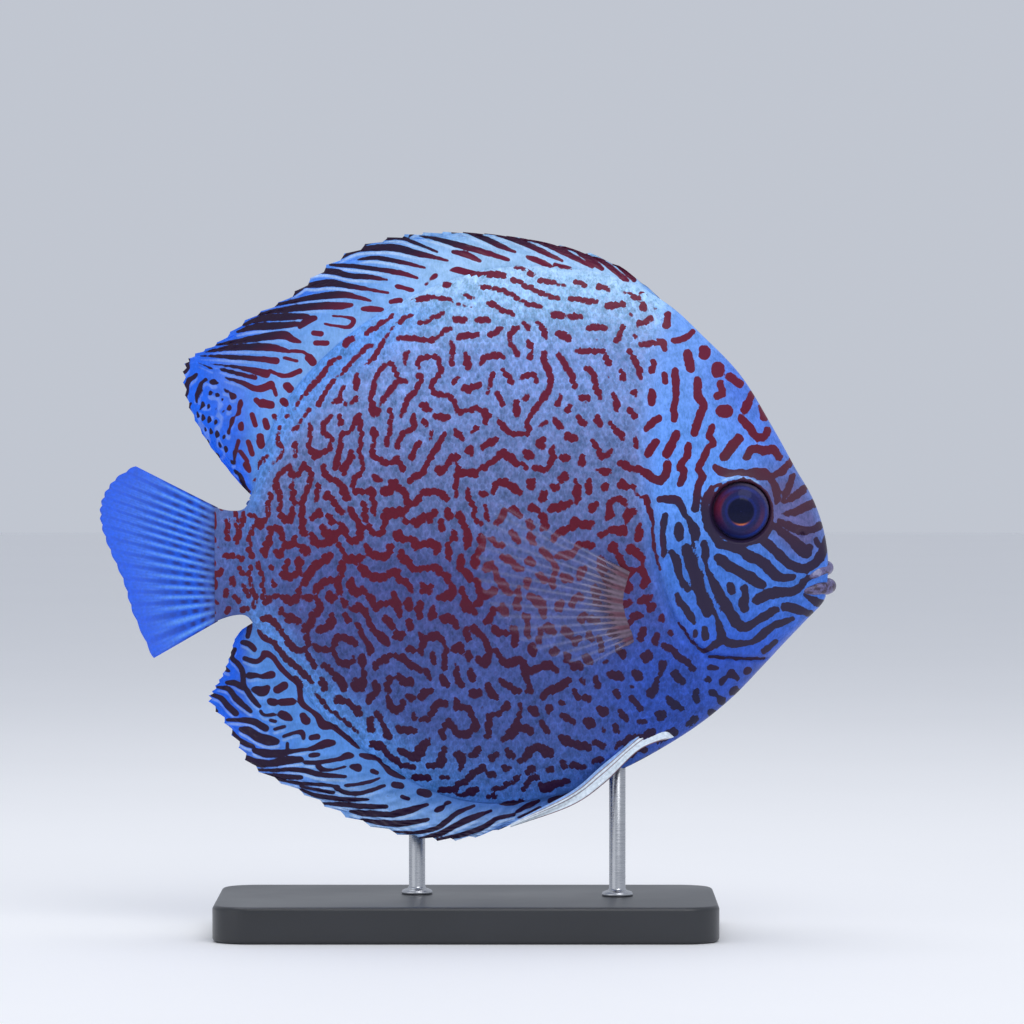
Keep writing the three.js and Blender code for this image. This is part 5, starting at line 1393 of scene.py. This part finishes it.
def build_tail_fin():
    """Tail fin: a fan of rays that branch halfway out, from the stalk's end, clearer towards its edge."""
    rays = TAIL_RAYS
    u, w = fan_grid(rays, RAY_CELLS, TAIL_ROWS)
    top, bottom = BACK_TABLE[-1], BELLY_TABLE[-1]
    root = top + (bottom - top) * u[..., None] + np.array([0.6, 0.0])
    tip = fin_edge(CAUDAL_EDGE, u)
    ray = ray_profile(u, rays)
    saw = np.abs((u * rays) % 1.0 - 0.5) * 2
    reach = 1 - 0.016 * saw ** 1.5
    flat = root + (tip - root) * (w * reach)[..., None]
    x, z = flat[..., 0], flat[..., 1]
    branch = ray_profile(u, rays * 2) * smooth(0.45, 0.75, w)
    crest = np.maximum(ray ** 3 * (1 - 0.5 * smooth(0.5, 0.8, w)), 0.7 * branch ** 2)
    middle = bend(x) + 0.7 * w * np.sin(2 * np.pi * 1.2 * u)
    half = mix(1.0, 0.12 + 0.22 * crest * (1 - 0.6 * w), smooth(0, 0.25, w)) * mix(1.0, 0.4, smooth(0.92, 1, w))
    dark = smooth(0.5, 0.9, ray_profile(u + 0.5 / rays, rays)) * smooth(1.0, 0.2, w)
    dashes = 0.6 + 0.4 * np.sin(2 * np.pi * (7 * w + 3 * np.sin(5 * np.floor(u * rays + 0.5))))
    ground = blend(full_tint("tail", x), "tail_ray", 0.7 * crest * smooth(1.1, 0.4, w))
    ground = blend(ground, "stalk", 0.75 * smooth(0.28, 0.0, w))
    ground = blend(ground, "ink_fin", 0.85 * dark * mix(dashes, 0.7, smooth(0.3, 0.7, w)))
    add_clear_fin("tail_fan", (x, middle, z, half), clear_fin_material("clear_tail_skin", *TAIL_COVER), "clear_fins",
                  "caudal_fin", crest, mix(1.0, 0.8, smooth(0.1, 0.85, w)), ground)


def build_pectoral_fin(hand, side):
    """Breast fin: a clear fan with fine rays, standing off the flank."""
    rays = PECTORAL_RAYS
    u, w = fan_grid(rays, PECTORAL_RAY_CELLS, PECTORAL_ROWS)
    upper, lower = (np.array(p) for p in lifted(PECTORAL_ROOT))
    root = upper + (lower - upper) * u[..., None]
    tip = fin_edge(PECTORAL_EDGE, u)
    saw = np.abs((u * rays) % 1.0 - 0.5) * 2
    flat = root + (tip - root) * (w * (1 - 0.03 * saw ** 1.5))[..., None]
    ray = ray_profile(u, rays)
    near_y, far_y = PECTORAL_Y
    camber = 1.6 * np.sin(np.pi * w) + 1.2 * w * np.cos(2 * np.pi * u)
    y = side * (near_y + (far_y - near_y) * w + camber)
    crest = ray ** 4
    half = mix(0.85, 0.05 + 0.13 * crest, smooth(0.08, 0.4, w)) * mix(1.0, 0.45, smooth(0.9, 1.0, w))
    x, z = flat[..., 0], flat[..., 1]
    ground = blend(full_tint("breast_fin", x), "fin_base", smooth(0.4, 0.2, w))
    ground = blend(ground, "ink_flank", 0.55 * smooth(0.26, 0.14, w) * smooth(0.5, 0.9, ray_profile(u, 6)))
    ground = ground * (1 - 0.3 * (1 - ray) * smooth(0.3, 0.1, w))[..., None]
    solid = mix(1.0, 0.4, smooth(0.3, 1.0, w)) * (1 + 5 * smooth(0.4, 0.2, w) + 34 * smooth(0.24, 0.12, w))
    material = material_named("clear_fan_skin", clear_fin_material, *FAN_COVER)
    add_clear_fin(f"breast_fan_{hand}", (x, y, z, half), material, "clear_fins", f"pectoral_fin_{hand}",
                  crest, solid, ground)


def build_pelvic_fin(hand, side):
    """Belly fin: four soft rays side by side, white with dark red lines, blue behind, drawn out to one tip."""
    u, w = fan_grid(PELVIC_RAYS, RAY_CELLS, PELVIC_ROWS)
    lead, trail = spline(lifted(PELVIC_LEADING), w * 4), spline(lifted(PELVIC_TRAILING), w * 4)
    flat = lead + (trail - lead) * u[..., None]
    ray = ray_profile(u, PELVIC_RAYS)
    near_y, far_y = PELVIC_Y
    x, z = flat[..., 0], flat[..., 1]
    y = side * (near_y + (far_y - near_y) * w ** 0.6 + 0.25 * np.sin(2 * np.pi * (2 * w + u)))
    half = mix(0.85, 0.2, w) * (0.8 + 0.2 * ray)
    lines = smooth(0.1, 0.04, u) + sum(np.exp(-((u - at) / 0.035) ** 2) for at in (0.56, 0.78))
    ground = blend(full_tint("streamer", x), "margin", 0.7 * smooth(0.78, 0.86, u))
    ground = blend(ground, "ink_flank", np.clip(lines, 0, 1) * 0.9 * smooth(0.02, 0.12, w) * smooth(1.0, 0.85, w))
    material = material_named("belly_ray_skin", clear_fin_material, *STREAMER_COVER)
    add_clear_fin(f"belly_streamer_{hand}", (x, y, z, half), material, "pelvic_rays", f"pelvic_fin_{hand}",
                  ray, np.ones(x.shape), ground)


def build_eye(hand, side):
    """Eye: a dome on rings r and turns t, y = depth times sqrt(1 - (r / radius)^2), closed by a flat back.

    Pupil, iris, red crescent and blue outer arcs are painted by radius and turn. The blue arc low in front and
    a grey haze at the top are painted reflections, a pale ring round the edge is partly the eye's own colour
    and partly painted light on the shaded gap at the socket, and a painted glint lines the pupil's lower edge.
    """
    rings = np.sin(np.linspace(0.02, 1, 60) * np.pi / 2)
    turns = np.linspace(0, 2 * np.pi, 128, endpoint=False)
    r, t = np.meshgrid(rings * EYE_RADIUS, turns, indexing="ij")
    x, z = EYE_AT[0] + r * np.cos(t), EYE_AT[1] + LIFT + r * np.sin(t)
    dome = EYE_DEPTH * np.sqrt(np.clip(1 - (r / EYE_RADIUS) ** 2, 0, 1))
    dome = dome - 0.1 * smooth(2.7, 2.95, r) * smooth(6.0, 4.0, r)
    front = np.stack([x, side * (EYE_Y + dome), z], -1)
    points, faces = tube(np.concatenate([front, np.stack([x[::-1], 0 * x + side * EYE_Y, z[::-1]], -1)[1:]]))
    turn = np.degrees(t)
    pixels = r / MM_PER_PIXEL

    def arc(middle, spread):
        """1 at the arc's middle, falling as a bell over its spread in degrees."""
        return np.exp(-(((turn - middle + 180) % 360 - 180) / spread) ** 2)

    colours = blend(full_tint("iris", r), screen(30, 44, 118), np.exp(-((pixels - 14.8) / 1.1) ** 2) * 0.8)
    for rgb, (start, full, fading, end), middle, spread, strength in EYE_ARCS:
        ring = smooth(start, full, pixels) * smooth(end, fading, pixels)
        colours = blend(colours, screen(*rgb), strength * ring * arc(middle, spread))
    # Painted reflection: a grey haze over the top of the iris
    colours = blend(colours, screen(96, 88, 104), smooth(24.5, 27, pixels) * arc(60, 55) * 0.85)
    # Pale lilac ring round the edge: partly the eye's own colour, partly painted light that lightens the shaded gap at
    # the socket
    colours = blend(colours, screen(104, 94, 128), smooth(26.2, 28.0, pixels) * 0.6)
    colours = blend(colours, "pupil", smooth(PUPIL_PIXELS, PUPIL_PIXELS - 1.0, pixels))
    # Painted highlight: an orange glint along the pupil's lower edge
    colours = blend(colours, screen(236, 128, 74), np.exp(-((pixels - 13.3) / 0.75) ** 2) * arc(-88, 24))
    painted = colours.reshape(-1, 3)
    rest = np.broadcast_to(tint("iris"), (len(points) - len(painted), 3))
    add_piece(f"eyeball_{hand}", points, faces, material_named("wet_eye", eye_material), "eyes", (f"eye_{hand}",),
              colours={"ground": np.concatenate([painted, rest])})


def eye_material(name):
    """Glossy eye: the painted rings with a fine grain of noise, under a clear coat."""
    material, nodes, shader = new_material(
        name, Roughness=0.5, Specular_IOR_Level=0.05, Coat_Weight=0.16, Coat_Roughness=0.03)
    grain = nodes.range(nodes.noise(nodes.place(), 2200.0, 3.0, 0.6), 0.3, 0.7, 0.8, 1.2)
    nodes.link(nodes.shaded(nodes.attribute("ground", "Color"), grain, grain), shader, "Base Color")
    return material


def lip_material(name):
    """Soft mottled skin of the lips: one noise mixes lilac, brown and pale grey, another is a fine grain."""
    material, nodes, shader = new_material(
        name, Roughness=0.4, Coat_Weight=0.2, Coat_Roughness=0.2, Specular_IOR_Level=0.3)
    place = nodes.place()
    patches, fine = nodes.noise(place, 420.0, 3.0, 0.6), nodes.noise(place, 2400.0)
    dark = nodes.range(patches, 0.5, 0.62, smoothly=True)
    pale = nodes.range(patches, 0.44, 0.34, smoothly=True)
    colour = nodes.colours(dark, opaque(tint("lips")), opaque(screen(68, 52, 72)))
    colour = nodes.colours(nodes.math("MULTIPLY", pale, 0.6), colour, opaque(screen(168, 168, 200)))
    grain = nodes.range(fine, 0.3, 0.7, 0.86, 1.14)
    nodes.link(nodes.shaded(colour, grain, grain), shader, "Base Color")
    nodes.relief(shader, fine, 0.3, 0.0002)
    return material


def build_lip(name, node, corner, front, thickness):
    """Lip: a round section carried along a horseshoe from one corner of the mouth to the other.

    The path is half an ellipse seen from above; the section's radius swells as the sine of the turn.
    """
    turn, angle = np.meshgrid(
        np.linspace(0, np.pi, 72), np.linspace(0, 2 * np.pi, 28, endpoint=False), indexing="ij")
    forward = np.sin(turn)
    path = np.stack([mix(corner[0], front[0], forward), -corner[1] * np.cos(turn),
                     mix(corner[2], front[1], forward) + LIFT], -1)
    ahead = np.stack([(front[0] - corner[0]) * np.cos(turn), corner[1] * np.sin(turn), 0 * turn], -1)
    outward = np.stack([ahead[..., 1], -ahead[..., 0], 0 * turn], -1)
    outward /= np.linalg.norm(outward, axis=-1, keepdims=True)
    radius = mix(thickness[0], thickness[1], forward) * (1 + 0.04 * np.sin(9 * turn + 2 * angle))
    rings = path + outward * (radius * np.cos(angle))[..., None]
    rings[..., 2] += radius * np.sin(angle)
    add_piece(name, *tube(rings), material_named("wet_lips", lip_material), "lips", (node,))


def build_base():
    """Stand base: a rounded rectangle carried up a profile whose edges are quarter circles."""
    (length, width, height), corner, edge = BASE_SIZE, BASE_CORNER, BASE_EDGE
    quarter = np.linspace(0, np.pi / 2, 10)
    rising, falling = edge * (1 - np.cos(quarter)), edge * (1 - np.sin(quarter))
    inset = np.concatenate([[4.0], falling, rising, [4.0]])
    level = np.concatenate([[0.0], rising, height - falling, [height]])
    turn = np.concatenate([np.linspace(q * np.pi / 2, (q + 1) * np.pi / 2, 24) for q in range(4)])
    side_x = np.repeat([1, -1, -1, 1], 24) * (length / 2 - corner)
    side_y = np.repeat([1, 1, -1, -1], 24) * (width / 2 - corner)
    radius = (corner - inset)[:, None]
    rings = np.stack([side_x + radius * np.cos(turn), side_y + radius * np.sin(turn),
                      np.broadcast_to(level[:, None], (len(level), len(turn)))], -1)
    add_piece("display_base", *tube(rings), stand_material("satin_black"), "stand", ("stand_base",))


def build_rod(name, node, at):
    """Rod of the stand: a circle carried up a profile with a low collar and a rounded top."""
    foot, radius = BASE_SIZE[2], ROD_RADIUS
    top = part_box(node)[1][2] / MM + ROD_TUCK
    steps = np.array([(0.0, 3.4), (0.5, 3.4), (0.9, 3.2), (1.1, 2.7), (1.3, 2.05), (1.8, radius),
                      (top - foot - 0.3, radius), (top - foot, radius - 0.3)])
    turn = np.linspace(0, 2 * np.pi, 48, endpoint=False)
    rings = np.stack([at[0] + steps[:, 1:] * np.cos(turn), at[1] + steps[:, 1:] * np.sin(turn),
                      foot + steps[:, :1] + 0 * turn], -1)
    add_piece(name, *tube(rings), material_named("brushed_rod", rod_material), "stand_rods", (node,))


def stand_material(name):
    """Satin black lacquer with a faint orange-peel relief and slow changes of tone."""
    material, nodes, shader = new_material(name, Coat_Weight=0.2, Coat_Roughness=0.3)
    place = nodes.place()
    peel, wide = nodes.noise(place, 900.0), nodes.noise(place, 30.0, 3.0)
    dark, pale = (opaque(tint("stand") * tone) for tone in (0.85, 1.15))
    nodes.link(nodes.colours(nodes.range(wide, 0.3, 0.7), dark, pale), shader, "Base Color")
    nodes.link(nodes.range(wide, 0.3, 0.7, 0.34, 0.44), shader, "Roughness")
    nodes.relief(shader, peel, 0.12, 0.0002)
    return material


def rod_material(name):
    """Brushed steel: noise squeezed along the rod, as from a turned finish, varies roughness and relief."""
    material, nodes, shader = new_material(name, Metallic=1.0)
    squeezed = nodes.add(
        "ShaderNodeMapping", inputs={"Vector": nodes.place(), "Scale": (1.0, 1.0, 14.0)}).outputs[0]
    brushed = nodes.noise(squeezed, 300.0, 3.0, 0.6)
    colour = nodes.colours(brushed, opaque(screen(168, 170, 174)), opaque(screen(206, 208, 212)))
    nodes.link(colour, shader, "Base Color")
    nodes.link(nodes.range(brushed, 0.3, 0.7, 0.22, 0.36), shader, "Roughness")
    nodes.relief(shader, brushed, 0.08, 0.0001)
    return material


def build_stage():
    """Pale floor, soft lights and the camera at the photo's viewing angle."""
    scene = bpy.context.scene
    away = scene.discus_sizes.camera_distance
    mesh = bpy.data.meshes.new("floor")
    turn = np.linspace(0, 2 * np.pi, 96, endpoint=False)
    rim = np.stack([FLOOR_RADIUS * np.cos(turn), FLOOR_RADIUS * np.sin(turn), 0 * turn], -1)
    mesh.from_pydata(rim.tolist(), [], [list(range(len(rim)))])
    floor = bpy.data.objects.new("floor", mesh)
    scene.collection.objects.link(floor)
    material, nodes, shader = new_material("pale_floor", Roughness=0.7)
    cloud = nodes.noise(nodes.place(), 8.0, 3.0)
    nodes.link(nodes.colours(cloud, opaque(tint("floor") * 0.97), opaque(tint("floor"))), shader, "Base Color")
    mesh.materials.append(material)

    world = bpy.data.worlds.new("studio")
    scene.world = world
    world.use_nodes = True
    sky = world.node_tree.nodes["Background"]
    sky.inputs["Color"].default_value = opaque(screen(226, 232, 244))
    sky.inputs["Strength"].default_value = SKY_STRENGTH
    for name, place, size, power in LIGHTS:
        light = bpy.data.lights.new(name, "AREA")
        light.shape, light.size, light.energy = "DISK", size, power
        lamp = bpy.data.objects.new(name, light)
        lamp.location = place
        lamp.rotation_euler = (Vector(LIGHTS_AIM) - lamp.location).to_track_quat("-Z", "Y").to_euler()
        scene.collection.objects.link(lamp)

    data = bpy.data.cameras.new("camera")
    data.sensor_width = 36.0
    data.lens = data.sensor_width * away / (PHOTO_SIDE * MM_PER_PIXEL * MM)
    camera = bpy.data.objects.new("camera", data)
    aim = Vector((PHOTO_CENTRE[0] * MM, 0.0, PHOTO_CENTRE[1] * MM))
    rise = np.radians(CAMERA_RISE)
    camera.location = aim + away * Vector((0.0, -np.cos(rise), np.sin(rise)))
    camera.rotation_euler = (aim - camera.location).to_track_quat("-Z", "Y").to_euler()
    scene.collection.objects.link(camera)
    scene.camera = camera
    scene.view_settings.view_transform = "Standard"


class DISCUS_OT_stage(bpy.types.Operator):
    """Add the floor, the lights and the camera"""
    bl_idname = "discus.stage"
    bl_label = "Stage"

    def execute(self, context):
        build_stage()
        return {"FINISHED"}


class DISCUS_OT_skin(bpy.types.Operator):
    """Add the body's skin from snout to tail stalk"""
    bl_idname = "discus.skin"
    bl_label = "Skin"

    def execute(self, context):
        build_skin("head_skin", HEAD_SKIN, ("head", "gill_cover_right", "gill_cover_left"))
        build_skin("body_skin", BODY_SKIN, ("torso", "tail_stalk"))
        return {"FINISHED"}


class DISCUS_OT_scales(bpy.types.Operator):
    """Add the scales of both flanks"""
    bl_idname = "discus.scales"
    bl_label = "Scales"

    def execute(self, context):
        for hand, side in SIDES:
            build_scales(hand, side)
        return {"FINISHED"}


class DISCUS_OT_median_fins(bpy.types.Operator):
    """Add the back fin and the belly fin that run along the body's edge"""
    bl_idname = "discus.median_fins"
    bl_label = "Back and belly fins"

    def execute(self, context):
        build_median_fin("back_fin", "dorsal_fin", DORSAL_EDGE, BACK_TABLE, 1, DORSAL_RAYS, DORSAL_NOTCHES)
        build_median_fin("belly_fin", "anal_fin", ANAL_EDGE, BELLY_TABLE, -1, ANAL_RAYS, ANAL_NOTCHES)
        return {"FINISHED"}


class DISCUS_OT_tail_fin(bpy.types.Operator):
    """Add the clear blue tail fin"""
    bl_idname = "discus.tail_fin"
    bl_label = "Tail fin"

    def execute(self, context):
        build_tail_fin()
        return {"FINISHED"}


class DISCUS_OT_paired_fins(bpy.types.Operator):
    """Add the clear breast fans and the long belly streamers"""
    bl_idname = "discus.paired_fins"
    bl_label = "Paired fins"

    def execute(self, context):
        for hand, side in SIDES:
            build_pectoral_fin(hand, side)
            build_pelvic_fin(hand, side)
        return {"FINISHED"}


class DISCUS_OT_eyes(bpy.types.Operator):
    """Add both eyes"""
    bl_idname = "discus.eyes"
    bl_label = "Eyes"

    def execute(self, context):
        for hand, side in SIDES:
            build_eye(hand, side)
        return {"FINISHED"}


class DISCUS_OT_lips(bpy.types.Operator):
    """Add the upper and the lower lip"""
    bl_idname = "discus.lips"
    bl_label = "Lips"

    def execute(self, context):
        build_lip("lip_over", "upper_lip", *UPPER_LIP)
        build_lip("lip_under", "lower_lip", *LOWER_LIP)
        return {"FINISHED"}


class DISCUS_OT_stand(bpy.types.Operator):
    """Add the base and the two rods of the stand"""
    bl_idname = "discus.stand"
    bl_label = "Stand"

    def execute(self, context):
        build_base()
        build_rod("front_rod", "stand_rod_front", FRONT_ROD_AT)
        build_rod("back_rod", "stand_rod_back", BACK_ROD_AT)
        return {"FINISHED"}


OPERATORS = (
    DISCUS_OT_stage, DISCUS_OT_skin, DISCUS_OT_scales, DISCUS_OT_median_fins, DISCUS_OT_tail_fin,
    DISCUS_OT_paired_fins, DISCUS_OT_eyes, DISCUS_OT_lips, DISCUS_OT_stand,
)


class DISCUS_PT_panel(bpy.types.Panel):
    """Settings and steps of the discus fish"""
    bl_idname = "DISCUS_PT_panel"
    bl_label = "Discus"
    bl_space_type = "VIEW_3D"
    bl_region_type = "UI"
    bl_category = "Discus"

    def draw(self, context):
        layout = self.layout
        for operator in OPERATORS:
            layout.operator(operator.bl_idname)
        for settings in (context.scene.discus_sizes, context.scene.discus_colours):
            box = layout.box()
            for key in settings.__annotations__:
                box.prop(settings, key)


CLASSES = (DiscusColours, DiscusSizes, *OPERATORS, DISCUS_PT_panel)


def register():
    """Makes the settings, the steps and the panel known to the program."""
    for item in CLASSES:
        bpy.utils.register_class(item)
    bpy.types.Scene.discus_colours = bpy.props.PointerProperty(type=DiscusColours)
    bpy.types.Scene.discus_sizes = bpy.props.PointerProperty(type=DiscusSizes)


def unregister():
    """Takes back what register made known."""
    del bpy.types.Scene.discus_sizes
    del bpy.types.Scene.discus_colours
    for item in reversed(CLASSES):
        bpy.utils.unregister_class(item)


def main():
    """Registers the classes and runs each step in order."""
    register()
    bpy.ops.discus.stage()
    bpy.ops.discus.skin()
    bpy.ops.discus.scales()
    bpy.ops.discus.median_fins()
    bpy.ops.discus.tail_fin()
    bpy.ops.discus.paired_fins()
    bpy.ops.discus.eyes()
    bpy.ops.discus.lips()
    bpy.ops.discus.stand()


if __name__ == "__main__":
    main()
